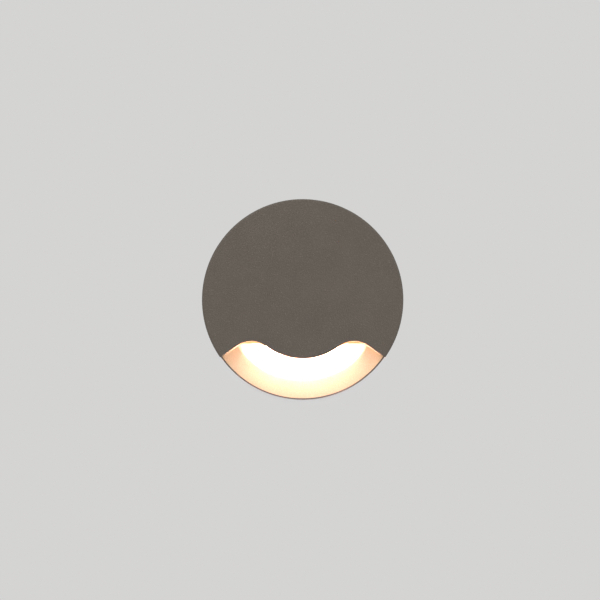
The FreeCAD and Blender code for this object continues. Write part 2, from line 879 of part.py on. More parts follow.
def driver_fuse():
    fuse_x, fuse_z = on_board(fuse_place_share)
    y = board_y1 + fuse_r + pin_gap
    low = V(fuse_x, y, fuse_z - fuse_len / 2.0)
    high = V(fuse_x, y, fuse_z + fuse_len / 2.0)
    cap = V(0, 0, fuse_cap_len)
    body = rod(fuse_r - fuse_cap_over, low, high)
    return body.fuse(rod(fuse_r, low, low + cap)).fuse(rod(fuse_r, high - cap, high)).removeSplitter()


def driver_chips():
    ic_x, ic_z = on_board(ic_place_share)
    chips = []
    for side in (-1.0, 1.0):
        x = side * ic_x
        chips.append(block(x - ic_w / 2.0, x + ic_w / 2.0, board_y1, board_y1 + ic_t,
                           ic_z - ic_h / 2.0, ic_z + ic_h / 2.0))
    return chips


# Terminal block on the board, with a clamp and a screw for each pole

def pole_places():
    first = -pole_pitch * (pole_count - 1) / 2.0
    return [first + pole_pitch * pole for pole in range(pole_count)]


def terminal_block():
    y1 = board_y1 + block_deep
    z1 = block_z0 + block_h
    body = block(-block_half, block_half, board_y1, y1, block_z0, z1)
    half_x = cage_w / 2.0 + cage_gap
    half_z = cage_h / 2.0 + cage_gap
    for x in pole_places():
        body = body.cut(block(x - half_x, x + half_x, cage_y0, y1 + overrun, cage_z - half_z, cage_z + half_z))
        body = body.cut(rod(entry_r, V(x, pole_wire_y, cage_z), V(x, pole_wire_y, z1 + overrun)))
    return body


def terminal_clamps():
    clamps = []
    half_x = cage_w / 2.0
    half_z = cage_h / 2.0
    roof_y = cage_y0 + cage_deep
    for x in pole_places():
        cage = block(x - half_x, x + half_x, cage_y0, roof_y, cage_z - half_z, cage_z + half_z)
        tunnel = block(x - half_x + cage_side, x + half_x - cage_side, cage_y0 + cage_wall,
                       roof_y - cage_roof, cage_z - cage_h, cage_z + cage_h)
        cage = cage.cut(tunnel)
        clamps.append(cage.cut(hole_y(clamp_screw, cage_y0 + cage_wall, roof_y + overrun, x, cage_z)))
    return clamps


def terminal_screws():
    seat_y = cage_y0 + cage_deep + cage_gap
    tip_y = pole_wire_y + earth_lead_d / 2.0 + pin_gap
    return [screw(clamp_screw, V(x, seat_y, cage_z), (0, 1, 0), seat_y - tip_y) for x in pole_places()]


# Earth lead from the first pole to a lug under the earth screw

def earth_lead():
    x = pole_places()[0]
    bend = earth_lead_bend
    half = bend * math.sqrt(0.5)
    lug_y = earth_y + lug_barrel
    z = earth_boss_z
    first = V(x, pole_wire_y, z - bend)
    first_mid = V(x, pole_wire_y + bend - half, z - bend + half)
    first_end = V(x, pole_wire_y + bend, z)
    second = V(x, lug_y - bend, z)
    second_mid = V(x - bend + half, lug_y - bend + half, z)
    second_end = V(x - bend, lug_y, z)
    start = V(x, pole_wire_y, cage_z)
    path = Part.Wire([
        Part.LineSegment(start, first).toShape(),
        Part.Arc(first, first_mid, first_end).toShape(),
        Part.LineSegment(first_end, second).toShape(),
        Part.Arc(second, second_mid, second_end).toShape(),
        Part.LineSegment(second_end, V(earth_lug_end, lug_y, z)).toShape(),
    ])
    return swept(path, earth_lead_d / 2.0, start, V(0, 0, 1))


def earth_lug():
    ring = rod_y(earth_boss_r - lug_in, earth_y, earth_y + lug_t, earth_boss_x, earth_boss_z)
    y = earth_y + lug_barrel
    inner = V(earth_boss_x + m3_head_r + cage_gap, y, earth_boss_z)
    outer = V(earth_lug_end + lug_grip, y, earth_boss_z)
    body = ring.fuse(rod(lug_barrel, inner, outer))
    mouth = outer + V(overrun, 0, 0)
    body = body.cut(rod(earth_lead_d / 2.0 + pin_gap, V(earth_lug_end, y, earth_boss_z), mouth))
    return body.cut(hole_y(m3_screw, earth_y - overrun, earth_y + lug_t + overrun, earth_boss_x, earth_boss_z))


def earth_washer():
    y0 = earth_y + lug_t
    return ring_y(m3_head_r, m3_shank_r + screw_gap, y0, y0 + washer_t, earth_boss_x, earth_boss_z)


def earth_screw():
    seat = V(earth_boss_x, earth_y + lug_t + washer_t, earth_boss_z)
    return screw(m3_screw, seat, (0, 1, 0), lug_t + washer_t + earth_boss_len - pin_gap)


# Rear cover and cable gland

def cover_seal():
    outer = can_form(can_r, can_flat, can_y1, cover_y0)
    return outer.cut(can_form(can_in_r, can_in_flat, can_y1 - overrun, cover_y0 + overrun))


def rear_cover():
    body = rounded(can_form(can_r, can_flat, cover_y0, cover_y1), cover_round, all_at(cover_y1))
    holes = [hole_y(m3_screw, cover_y0 - overrun, cover_y1 + overrun, x, z) for x, z in cover_places()]
    holes.append(rod_y(gland_thread_r + cage_gap, cover_y0 - overrun, cover_y1 + overrun))
    return cut_all(body, holes)


def cover_screws():
    length = cover_t + cover_seal_t + cover_into
    return [screw(m3_screw, V(x, cover_y1, z), (0, 1, 0), length) for x, z in cover_places()]


def gland_body():
    body = rod_y(gland_thread_r, cover_y0 - gland_tail, gland_hex_y0)
    body = body.fuse(hex_y(gland_hex, gland_hex_y0, gland_hex_y1))
    body = body.fuse(rod_y(gland_neck_r, gland_hex_y1, gland_neck_y1)).removeSplitter()
    body = body.cut(rod_y(gland_bore_r, cover_y0 - gland_tail - overrun, gland_neck_y1 + overrun))
    return body.cut(rod_y(gland_bush_r + pin_gap, gland_bush_y0, gland_neck_y1 + overrun))


def gland_locknut():
    nut = hex_y(locknut_hex, cover_y0 - locknut_t, cover_y0)
    return nut.cut(rod_y(gland_thread_r + pin_gap, cover_y0 - gland_tail - overrun, cover_y0 + overrun))


def gland_seal():
    return ring_y(gland_seal_r, gland_thread_r + cage_gap, cover_y1, gland_hex_y0)


def gland_bush():
    return ring_y(gland_bush_r, gland_cable_r, gland_bush_y0, gland_neck_y1)


def gland_nut():
    start = gland_hex_y1 + gland_nut_gap
    end = gland_neck_y1 + gland_nut_end
    flat_r = gland_hex / 2.0
    body = hex_y(gland_hex, start, gland_neck_y1)
    dome = Part.makeCone(flat_r, flat_r - gland_nut_taper, gland_nut_end, V(0, gland_neck_y1, 0), V(0, 1, 0))
    body = body.fuse(dome)
    body = body.cut(rod_y(gland_neck_r + pin_gap, start - overrun, gland_neck_y1 + cage_gap))
    return body.cut(rod_y(gland_mouth_r, start, end + overrun))


# Spring clips, built for the right side and mirrored for the left

def clip_bracket():
    half = clip_base_half
    body = block(can_flat, clip_base_x, clip_base_y0, clip_base_y1, -half, half)
    for z0 in (-half, half - clip_sheet):
        ear = block(can_flat, clip_pin_x + clip_ear_out, clip_pin_y - clip_ear_half,
                    clip_pin_y + clip_ear_half, z0, z0 + clip_sheet)
        body = body.fuse(ear)
    body = body.removeSplitter()
    hole = rod(clip_pin_r + pin_gap, pin_point(-half - overrun), pin_point(half + overrun))
    holes = [hole] + rivet_rods(rivet_r + screw_gap)
    return cut_all(body, holes)


def pin_point(z):
    return V(clip_pin_x, clip_pin_y, z)


def clip_pin():
    half = clip_base_half
    body = rod(clip_pin_r, pin_point(-half), pin_point(half))
    for side in (-1.0, 1.0):
        body = body.fuse(rod(clip_head_r, pin_point(side * half), pin_point(side * (half + clip_head_t))))
    return body.removeSplitter()


def rivet_rods(radius):
    rods = []
    for side in (-1.0, 1.0):
        for z in (-rivet_z, rivet_z):
            rods.append(rod(radius, V(side * can_in_flat, rivet_y, z), V(side * clip_base_x, rivet_y, z)))
    return rods


def bracket_rivets():
    rivets = []
    for shank in rivet_rods(rivet_r):
        centre = shank.CenterOfMass
        side = math.copysign(1.0, centre.x)
        seat = V(side * clip_base_x, centre.y, centre.z)
        rivets.append(shank.fuse(rod(rivet_head_r, seat, seat + V(side * rivet_head_t, 0, 0))))
    return rivets


def turned_left(way):
    return V(-way.y, way.x, 0)


def arm_lines():
    pin = pin_point(0)
    knee = V(arm_knee_x, arm_knee_y, 0) - pin
    tip = V(arm_tip_x, arm_tip_y, 0) - pin
    lean = math.atan2(knee.y, knee.x) - math.asin(arm_offset / knee.Length)
    along = V(math.cos(lean), math.sin(lean), 0)
    back = (tip - knee).normalize()
    return pin, knee, tip, along, back


def arm_web():
    pin, knee, tip, along, back = arm_lines()
    out = turned_left(along)
    back_out = turned_left(back)
    tail = out * arm_offset - along * arm_tail
    mitre = (out + back_out) * (1.0 / (1.0 + out.dot(back_out)))
    inner_knee = knee - mitre * arm_sheet
    points = [tail, knee, tip, tip - back_out * arm_sheet, inner_knee, tail - out * arm_sheet]
    low = V(0, 0, -arm_half)
    web = prism([pin + point + low for point in points], V(0, 0, arm_half * 2.0))
    web = rounded(web, arm_knee_round, edge_through(pin + knee))
    return rounded(web, arm_knee_round - arm_sheet, edge_through(pin + inner_knee))


def edge_through(point):
    def wanted(edge):
        centre = edge.CenterOfMass
        return V(centre.x, centre.y, 0).distanceToPoint(V(point.x, point.y, 0)) < pin_gap
    return wanted


def clip_arm():
    pin, knee, tip, along, back = arm_lines()
    out = turned_left(along)
    heel = V(clip_base_x + arm_stop_gap, clip_pin_y + arm_heel_rise, 0) - pin
    inner = arm_offset - arm_sheet
    points = [heel, out * arm_offset - along * arm_tail, out * arm_offset + along * arm_ear_front,
              out * inner + along * arm_ear_front, along * arm_ear_low - out * arm_ear_low]
    body = arm_web()
    for z0 in (-arm_half, arm_half - arm_sheet):
        body = body.fuse(prism([pin + point + V(0, 0, z0) for point in points], V(0, 0, arm_sheet)))
    body = body.removeSplitter()
    return body.cut(rod(clip_pin_r + pin_gap, pin_point(-arm_half - overrun), pin_point(arm_half + overrun)))


def sleeve_block(wall, start_share, end_share):
    pin, knee, tip, along, back = arm_lines()
    out = turned_left(back)
    start = pin + knee + (tip - knee) * start_share + V(0, 0, -arm_half - wall)
    end = pin + knee + (tip - knee) * end_share + V(0, 0, -arm_half - wall)
    under = out * (arm_sheet + wall)
    points = [start + out * wall, end + out * wall, end - under, start - under]
    return prism(points, V(0, 0, (arm_half + wall) * 2.0))


def clip_sleeve():
    return sleeve_block(sleeve_wall, sleeve_start_share, sleeve_end_share).cut(sleeve_block(pin_gap, 0.0, 1.0))


# Torsion spring on the pin: true half circles, each tilted by the pitch, with two straight legs

def half_turn(centre, side, angle):
    rise = V(0, 0, spring_pitch / 4.0)
    chord = V(spring_r * side, 0, 0) + rise
    radius = chord.Length
    middle = centre + rise
    over = V(0, side * radius, 0)
    return middle - chord * math.cos(angle) + over * math.sin(angle)


def spring_points(steps):
    points = []
    for turn in range(spring_turns * 2 + 1):
        side = 1.0 if turn % 2 == 0 else -1.0
        centre = spring_start() + V(0, 0, spring_pitch / 2.0 * turn)
        sweep = spring_last() if turn == spring_turns * 2 else math.pi
        points.append([half_turn(centre, side, sweep * step / steps) for step in range(steps + 1)])
    return points


def spring_last():
    along = arm_lines()[3]
    return math.pi - math.asin(along.x)


def spring_start():
    height = spring_pitch * (spring_turns + spring_last() / math.pi / 2.0)
    return pin_point(-height / 2.0)


def clip_spring():
    arcs = [Part.Arc(*half).toShape() for half in spring_points(2)]
    coil_start = spring_points(1)[0][0]
    coil_end = spring_points(1)[-1][-1]
    chord = V(spring_r, 0, spring_pitch / 4.0)
    heading = chord * math.sin(spring_last()) + V(0, chord.Length, 0) * math.cos(spring_last())
    heading = heading.normalize()
    foot = coil_start - V(0, spring_leg_base, 0)
    edges = [Part.LineSegment(foot, coil_start).toShape()] + arcs
    edges.append(Part.LineSegment(coil_end, coil_end + heading * spring_leg_arm).toShape())
    return swept(Part.Wire(edges), spring_wire / 2.0, foot, V(0, 1, 0))


def print_spring_gap():
    turns = spring_points(spring_samples)
    least = min(a.distanceToPoint(b) for i, one in enumerate(turns) for other in turns[i + 2:]
                for a in one for b in other)
    print("clip spring, least gap between turns", round(least - spring_wire, 3))


def main():
    os.makedirs("parts", exist_ok=True)
    single = [face_cap, chassis, wall_gasket, light_scoop, led_bracket, thermal_pad, led_board, lens_gasket,
              led_lens, lead_grommet, driver_can, can_seal, driver_liner, driver_board, transformer_core,
              transformer_winding, driver_choke, driver_fuse, terminal_block, earth_lead, earth_lug,
              earth_washer, earth_screw, cover_seal, rear_cover, gland_body, gland_locknut, gland_seal,
              gland_bush, gland_nut]
    group = [face_screws, bracket_screws, led_chips, board_screws, can_screws, driver_screws,
             driver_capacitors, driver_chips, terminal_clamps, terminal_screws, cover_screws, bracket_rivets]
    paired = [clip_bracket, clip_pin, clip_spring, clip_arm, clip_sleeve]
    for piece in single:
        save(piece.__name__, [piece()])
    for piece in group:
        save(piece.__name__, piece())
    save("led_lead_red", [lead_wire(-lead_pitch / 2.0)])
    save("led_lead_black", [lead_wire(lead_pitch / 2.0)])
    for piece in paired:
        right, left = both_sides(piece())
        save(piece.__name__ + "_right", [right])
        save(piece.__name__ + "_left", [left])
    print_spring_gap()


main()
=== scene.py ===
import logging
import math
from dataclasses import dataclass
from enum import Enum
from typing import Callable, Mapping, Sequence

import bmesh
import bpy
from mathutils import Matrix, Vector


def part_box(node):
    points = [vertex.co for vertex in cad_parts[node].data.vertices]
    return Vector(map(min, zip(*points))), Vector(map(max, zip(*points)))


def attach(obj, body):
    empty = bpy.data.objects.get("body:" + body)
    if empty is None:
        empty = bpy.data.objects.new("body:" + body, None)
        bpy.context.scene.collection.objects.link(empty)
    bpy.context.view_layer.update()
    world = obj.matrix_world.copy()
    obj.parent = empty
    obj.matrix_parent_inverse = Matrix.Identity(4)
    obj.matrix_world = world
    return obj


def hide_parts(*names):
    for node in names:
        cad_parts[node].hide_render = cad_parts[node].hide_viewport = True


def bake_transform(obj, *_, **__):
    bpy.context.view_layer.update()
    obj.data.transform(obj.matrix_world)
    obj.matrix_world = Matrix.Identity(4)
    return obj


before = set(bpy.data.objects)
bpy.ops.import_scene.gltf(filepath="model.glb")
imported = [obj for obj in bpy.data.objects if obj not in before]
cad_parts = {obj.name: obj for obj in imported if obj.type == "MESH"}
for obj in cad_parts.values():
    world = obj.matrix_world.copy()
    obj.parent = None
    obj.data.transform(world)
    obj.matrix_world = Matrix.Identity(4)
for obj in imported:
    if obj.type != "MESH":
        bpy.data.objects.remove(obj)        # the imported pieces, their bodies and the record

LOG = logging.getLogger("recessed_light")
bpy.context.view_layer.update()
MM = 0.001
NEAR = 0.01 * MM          # places closer than this count as one
MERGE = 0.002 * MM        # vertices closer than this are merged
FACING = 0.999            # the least dot product of two normals that count as one direction
SQUARE = 0.02             # the most that a normal leans along an axis that it counts as square to
FLAT = 0.5                # faces that meet at less than this angle, in degrees, count as one
MOTTLE = 24.0             # how many times wider than the grain a finish's mottle is
GRAIN_SHARE = 0.75        # the grain's share in the mottle, the rest is the wide pattern
GRAIN_BUMP = 0.9          # how strongly the relief of a grain shows
SOFT_STEPS = 2            # in how many steps a small round is made
SMOOTH = 32.0             # faces that meet at less than this angle, in degrees, are shaded smooth
REARWARD = Vector((0.0, 1.0, 0.0))
Colour = tuple[float, float, float]


class Value:
    """A shader value. Its arithmetic adds Math nodes to the graph it belongs to."""

    def __init__(self, graph: "Graph", socket: bpy.types.NodeSocket) -> None:
        """Keeps the graph and the output socket.

        Args:
            graph: the material graph that the value belongs to.
            socket: the output socket that carries the value.
        """
        self.graph = graph
        self.socket = socket

    def math(self, operation: str, *others: "Value | float") -> "Value":
        """Adds one Math node that starts from this value.

        Args:
            operation: the Math node's operation.
            others: the other operands, in order.

        Returns:
            The node's result.
        """
        inputs = dict(enumerate((self, *others)))
        return self.graph.node("ShaderNodeMath", {"operation": operation}, inputs, 0)

    def __add__(self, other: "Value | float") -> "Value":
        """Adds."""
        return self.math("ADD", other)

    __radd__ = __add__

    def __mul__(self, other: "Value | float") -> "Value":
        """Multiplies."""
        return self.math("MULTIPLY", other)

    __rmul__ = __mul__

    def __sub__(self, other: "Value | float") -> "Value":
        """Subtracts the other operand."""
        return self.math("SUBTRACT", other)

    def __rsub__(self, other: float) -> "Value":
        """Is subtracted from a number."""
        return self * -1.0 + other


class Graph:
    """The node graph of one material, with a Principled shader on its output."""

    def __init__(self, name: str) -> None:
        """Makes the material with only its shader and its output.

        Args:
            name: the material's name.
        """
        self.material = bpy.data.materials.new(name)
        self.material.use_nodes = True
        self.tree = self.material.node_tree
        self.tree.nodes.clear()
        self.shader = self.tree.nodes.new("ShaderNodeBsdfPrincipled")
        output = self.tree.nodes.new("ShaderNodeOutputMaterial")
        self.tree.links.new(self.shader.outputs[0], output.inputs["Surface"])

    def node(self, kind: str, settings: Mapping[str, object], inputs: Mapping[int | str, object],
             output: int | str) -> Value:
        """Adds a node, sets its settings first and then its sockets.

        Args:
            kind: the node's type.
            settings: its settings. "stops" are a colour ramp's places and colours.
            inputs: values or links by socket name or number.
            output: the output that is wanted.

        Returns:
            The wanted output.
        """
        node = self.tree.nodes.new(kind)
        for key, setting in settings.items():
            if key == "stops":
                self._set_stops(node.color_ramp, setting)
            else:
                setattr(node, key, setting)
        for key, value in inputs.items():
            self.put(node.inputs[key], value)
        return Value(self, node.outputs[output])

    def put(self, socket: bpy.types.NodeSocket, value: object) -> None:
        """Links a value to a socket, or sets the socket to a number or a colour.

        Args:
            socket: the input socket.
            value: a Value, a number or a tuple.
        """
        if isinstance(value, Value):
            self.tree.links.new(value.socket, socket)
        else:
            socket.default_value = value

    def dress(self, **inputs: object) -> None:
        """Feeds the shader's sockets, named with underscores for spaces."""
        for key, value in inputs.items():
            self.put(self.shader.inputs[key.replace("_", " ")], value)

    def place(self) -> Value:
        """Returns the surface's Object coordinates."""
        return self.node("ShaderNodeTexCoord", {}, {}, "Object")

    def axes(self) -> tuple[Value, Value, Value]:
        """Splits the Object coordinates.

        Returns:
            The x, y and z values.
        """
        split = self.node("ShaderNodeSeparateXYZ", {}, {0: self.place()}, 0)
        outputs = split.socket.node.outputs
        return Value(self, outputs[0]), Value(self, outputs[1]), Value(self, outputs[2])

    def noise(self, grain: float, detail: float = 2.0, stretch: Sequence[float] = (1.0, 1.0, 1.0)) -> Value:
        """Adds a noise pattern.

        Args:
            grain: the size of its grain in metres.
            detail: how many finer layers it has.
            stretch: how much shorter the grain is along each axis.

        Returns:
            The noise, from 0 to 1.
        """
        spot = self.node("ShaderNodeMapping", {}, {"Vector": self.place(), "Scale": stretch}, 0)
        inputs = {"Vector": spot, "Scale": 1.0 / grain, "Detail": detail}
        return self.node("ShaderNodeTexNoise", {}, inputs, 0)

    def cells(self, grain: float) -> Value:
        """Adds a cell pattern, 0 in the middle of each cell.

        Args:
            grain: the size of a cell in metres.

        Returns:
            The distance from the middle of the cell.
        """
        return self.node("ShaderNodeTexVoronoi", {}, {"Vector": self.place(), "Scale": 1.0 / grain}, 0)

    def ramp(self, value: Value, stops: Sequence[tuple[float, Colour]]) -> Value:
        """Turns a value into a colour.

        Args:
            value: the value, from 0 to 1.
            stops: the ramp's places and colours.

        Returns:
            The colour.
        """
        return self.node("ShaderNodeValToRGB", {"stops": stops}, {0: value}, 0)

    def between(self, value: Value, low: float, high: float) -> Value:
        """Maps a value from 0 to 1 onto a range.

        Args:
            value: the value.
            low: what 0 becomes.
            high: what 1 becomes.

        Returns:
            The mapped value.
        """
        return value * (high - low) + low

    def bump(self, height: Value, depth: float, strength: float) -> Value:
        """Turns a height into a normal.

        Args:
            height: the height, from 0 to 1.
            depth: the depth of the relief in metres.
            strength: how strongly it shows.

        Returns:
            The normal.
        """
        return self.node("ShaderNodeBump", {}, {"Strength": strength, "Distance": depth, "Height": height}, 0)

    @staticmethod
    def _set_stops(ramp: bpy.types.ColorRamp, stops: Sequence[tuple[float, Colour]]) -> None:
        """Sets a colour ramp's places and colours.

        Args:
            ramp: the ramp.
            stops: its places, from 0 to 1, and their colours.
        """
        while len(ramp.elements) < len(stops):
            ramp.elements.new(1.0)
        for element, (place, colour) in zip(ramp.elements, stops):
            element.position = place
            element.color = (*colour, 1.0)


@dataclass(frozen=True)
class Layer:
    """One layer of a grain: how wide it is against the finish's size, and its share of the height."""

    width: float
    share: float
    detail: float = 2.0
    cells: bool = False

    def draw(self, graph: Graph, size: float, way: Sequence[float]) -> Value:
        """Draws the layer.

        Args:
            graph: the graph to draw in.
            size: the finish's grain size in metres.
            way: how much shorter the grain is along each axis.

        Returns:
            The layer's height.
        """
        if self.cells:
            return graph.cells(size * self.width) * self.share
        return graph.noise(size * self.width, self.detail, way) * self.share


class Grain(Enum):
    """The fine structure that a finish can have, as the layers that make it up."""

    POWDER = (Layer(1.0, 0.6, 3.0), Layer(1.4, 0.5, cells=True))
    CAST = (Layer(1.0, 0.7, 4.0), Layer(5.0, 0.3))
    BRUSHED = (Layer(1.0, 1.0, 3.0),)
    MOULDED = (Layer(1.0, 1.0),)
    FOAM = (Layer(1.0, 0.8, cells=True), Layer(0.5, 0.3))


@dataclass(frozen=True)
class Finish:
    """One finish of the light: its colours, its grain and how it shines."""

    name: str
    dark: Colour
    light: Colour
    rough: tuple[float, float]
    size: float
    grain: Grain = Grain.MOULDED
    relief: float = 0.00003
    metallic: float = 0.0
    way: tuple[float, float, float] = (1.0, 1.0, 1.0)
    spread: float = 0.2

    def material(self) -> bpy.types.Material:
        """Builds the finish as a material, once.

        Returns:
            The material.
        """
        known = bpy.data.materials.get(self.name)
        if known:
            return known
        graph = Graph(self.name)
        pattern = sum(layer.draw(graph, self.size, self.way) for layer in self.grain.value)
        mottle = self.mottle(graph, pattern)
        graph.dress(Base_Color=self.colour(graph, mottle), Roughness=graph.between(mottle, *self.rough),
                    Normal=graph.bump(pattern, self.relief, GRAIN_BUMP), Metallic=self.metallic)
        self.extra(graph)
        return graph.material

    def mottle(self, graph: Graph, fine: Value) -> Value:
        """Mixes a fine pattern with a wide one."""
        return fine * GRAIN_SHARE + graph.noise(self.size * MOTTLE) * (1.0 - GRAIN_SHARE)

    def colour(self, graph: Graph, mottle: Value) -> Value:
        """Colours the surface between the dark and the light tone.

        Args:
            graph: the graph to draw in.
            mottle: the mottle, from 0 to 1.

        Returns:
            The colour.
        """
        return graph.ramp(mottle, ((0.5 - self.spread, self.dark), (0.5 + self.spread, self.light)))

    def extra(self, graph: Graph) -> None:
        """Adds what only some finishes have, here nothing.

        Args:
            graph: the graph to add it to.
        """


@dataclass(frozen=True)
class Opal(Finish):
    """The lit lens: warm light that is a little stronger over each chip."""

    glow: Colour = (1.0, 0.55, 0.52)
    power: float = 600.0
    pitch: float = 0.01023
    dip: float = 0.86

    def extra(self, graph: Graph) -> None:
        """Adds the glow of the chips behind the lens.

        Args:
            graph: the graph to add it to.
        """
        across, _, _ = graph.axes()
        wave = (across * (2.0 * math.pi / self.pitch)).math("COSINE")
        dim = tuple(channel * self.dip for channel in self.glow)
        graph.dress(Emission_Color=graph.ramp(wave * 0.5 + 0.5, ((0.0, dim), (1.0, self.glow))),
                    Emission_Strength=self.power)


@dataclass(frozen=True)
class Striped(Finish):
    """Wire insulation with a stripe of another colour along it."""

    stripe: Colour = (0.85, 0.70, 0.03)
    ripple: float = 0.0008
    waver: float = 0.1
    edge: float = 0.60
    blur: float = 0.02

    def colour(self, graph: Graph, mottle: Value) -> Value:
        """Colours the side of the wire that faces the rear with the stripe.

        Args:
            graph: the graph to draw in.
            mottle: the mottle, which a wire doesn't show.

        Returns:
            The colour.
        """
        normal = graph.node("ShaderNodeNewGeometry", {}, {}, "Normal")
        rearward = graph.node("ShaderNodeSeparateXYZ", {}, {0: normal}, 1)
        side = rearward * 0.5 + graph.noise(self.ripple) * self.waver + (0.5 - self.waver / 2.0)
        return graph.ramp(side, ((self.edge, self.dark), (self.edge + self.blur, self.stripe)))


@dataclass(frozen=True)
class Printed(Finish):
    """A circuit board: solder mask with copper tracks showing through it."""

    track: Colour = (0.045, 0.22, 0.085)
    step: float = 0.0019
    share: float = 0.33
    blur: float = 0.03
    patch: float = 0.009
    height: float = 0.00005
    strength: float = 0.8

    def extra(self, graph: Graph) -> None:
        """Adds the tracks, as bands that change direction from patch to patch.

        Args:
            graph: the graph to add them to.
        """
        across, _, up = graph.axes()
        lean = graph.noise(self.patch, 0.0).math("GREATER_THAN", 0.5)
        course = across * lean + up * (1.0 - lean)
        line = course.math("PINGPONG", self.step) * (1.0 / self.step)
        colour = graph.ramp(line, ((self.share - self.blur, self.track),
                                   (self.share + self.blur, self.light)))
        height = line.math("LESS_THAN", self.share)
        graph.dress(Base_Color=colour, Normal=graph.bump(height, self.height, self.strength))


@dataclass(frozen=True)
class Lacquered(Finish):
    """Powder coat with fine light specks, as on the face."""

    spread: float = 0.18
    speck: Colour = (0.168, 0.145, 0.120)
    speck_width: float = 0.7
    least: float = 0.62
    full: float = 0.74

    def colour(self, graph: Graph, mottle: Value) -> Value:
        """Lays the specks over a mottle without the cells of the powder.

        Args:
            graph: the graph to draw in.
            mottle: the powder's whole mottle, which only its roughness follows.

        Returns:
            The colour.
        """
        base = super().colour(graph, self.mottle(graph, graph.noise(self.size, 3.0)))
        specks = graph.noise(self.size * self.speck_width, 1.0)
        mask = graph.node("ShaderNodeMapRange", {"interpolation_type": "SMOOTHSTEP"},
                          {"Value": specks, "From Min": self.least, "From Max": self.full}, 0)
        inputs = {0: mask, 6: base, 7: (*self.speck, 1.0)}
        return graph.node("ShaderNodeMix", {"data_type": "RGBA"}, inputs, 2)


def srgb(red: int, green: int, blue: int) -> Colour:
    """Turns a screen colour from 0 to 255 into the linear values that shaders take."""
    return tuple(((c / 255.0 + 0.055) / 1.055) ** 2.4 if c > 10 else c / 3294.6 for c in (red, green, blue))


POWDER_COAT = Lacquered("face_powder_coat", srgb(76, 69, 61), srgb(93, 85, 76), (0.50, 0.68), 0.00042,
                        Grain.POWDER, 0.00016)
CASTING_COAT = Finish("casting_powder_coat", srgb(75, 70, 64), srgb(92, 86, 80), (0.50, 0.68), 0.00042,
                      Grain.POWDER, 0.00014)
SCOOP_COAT = Finish("scoop_pale_coat", srgb(197, 178, 143), srgb(212, 194, 160), (0.46, 0.62), 0.00032,
                    Grain.POWDER, 0.00004)
FOAM = Finish("gasket_foam", srgb(38, 38, 38), srgb(57, 56, 55), (0.85, 0.97), 0.0006, Grain.FOAM, 0.00018)
RUBBER = Finish("seal_rubber", srgb(43, 43, 44), srgb(60, 59, 59), (0.55, 0.75), 0.0009)
SILICONE_WHITE = Finish("white_silicone", srgb(214, 214, 209), srgb(232, 231, 227), (0.50, 0.66), 0.0012)
SILICONE_GREY = Finish("grey_silicone", srgb(160, 163, 169), srgb(178, 181, 187), (0.55, 0.70), 0.0008)
ALUMINIUM = Finish("pressed_aluminium", srgb(200, 201, 203), srgb(226, 227, 228), (0.24, 0.40), 0.0004,
                   Grain.BRUSHED, metallic=1.0, way=(0.06, 1.0, 1.0))
BOARD_WHITE = Finish("white_solder_mask", srgb(224, 224, 220), srgb(240, 240, 236), (0.34, 0.46), 0.0006)
PHOSPHOR = Finish("chip_phosphor", srgb(228, 206, 92), srgb(242, 224, 122), (0.45, 0.6), 0.0003, Grain.CAST)
LENS_OPAL = Opal("lit_opal_lens", srgb(236, 232, 220), srgb(246, 243, 234), (0.30, 0.42), 0.0006,
                 relief=0.00002)
WIRE_RED = Finish("red_insulation", srgb(176, 32, 30), srgb(198, 44, 42), (0.34, 0.48), 0.0005)
WIRE_BLACK = Finish("black_insulation", srgb(32, 32, 33), srgb(46, 46, 46), (0.34, 0.50), 0.0005)
WIRE_EARTH = Striped("striped_earth_insulation", srgb(52, 138, 54), srgb(70, 158, 72), (0.36, 0.50), 0.0005)
LINER_WHITE = Finish("liner_plastic", srgb(209, 210, 207), srgb(224, 224, 221), (0.38, 0.52), 0.0007)
BOARD_GREEN = Printed("green_solder_mask", srgb(30, 98, 54), srgb(42, 114, 68), (0.28, 0.40), 0.0006)
FERRITE = Finish("ferrite_ceramic", srgb(48, 48, 50), srgb(66, 66, 68), (0.55, 0.75), 0.0004, Grain.CAST,
                 0.00006)
TAPE = Finish("winding_tape", srgb(209, 178, 52), srgb(228, 199, 74), (0.28, 0.42), 0.0009, Grain.BRUSHED,
              0.00006, way=(1.0, 0.2, 1.0))
SLEEVE = Finish("capacitor_sleeve", srgb(32, 40, 70), srgb(46, 56, 90), (0.26, 0.38), 0.0008)
FUSE = Finish("fuse_ceramic", srgb(140, 140, 134), srgb(158, 158, 152), (0.30, 0.42), 0.0006)
CHIP = Finish("chip_resin", srgb(32, 32, 33), srgb(46, 46, 47), (0.48, 0.62), 0.0003, Grain.CAST, 0.00004)
TERMINAL = Finish("terminal_polyamide", srgb(80, 127, 80), srgb(97, 146, 97), (0.36, 0.50), 0.0006)
BRASS = Finish("machined_brass", srgb(212, 182, 122), srgb(234, 206, 150), (0.24, 0.38), 0.0003,
               Grain.BRUSHED, metallic=1.0, way=(1.0, 0.08, 1.0))
TIN = Finish("tinned_lug", srgb(200, 200, 198), srgb(220, 219, 216), (0.30, 0.46), 0.0005, Grain.CAST,
             metallic=1.0)
GLAND = Finish("gland_nylon", srgb(54, 54, 57), srgb(71, 71, 74), (0.42, 0.58), 0.0005, relief=0.00005)
STAINLESS = Finish("stainless_steel", srgb(184, 184, 185), srgb(208, 208, 208), (0.22, 0.36), 0.00025,
                   Grain.BRUSHED, metallic=1.0, way=(1.0, 0.05, 1.0))
ZINC = Finish("zinc_plated_steel", srgb(192, 193, 197), srgb(213, 213, 216), (0.28, 0.44), 0.0006,
              Grain.CAST, 0.00004, metallic=1.0)
SPRING = Finish("rolled_spring_steel", srgb(184, 181, 177), srgb(214, 211, 207), (0.22, 0.44), 0.0003,
                Grain.BRUSHED, 0.00006, metallic=1.0, way=(1.0, 0.04, 1.0))
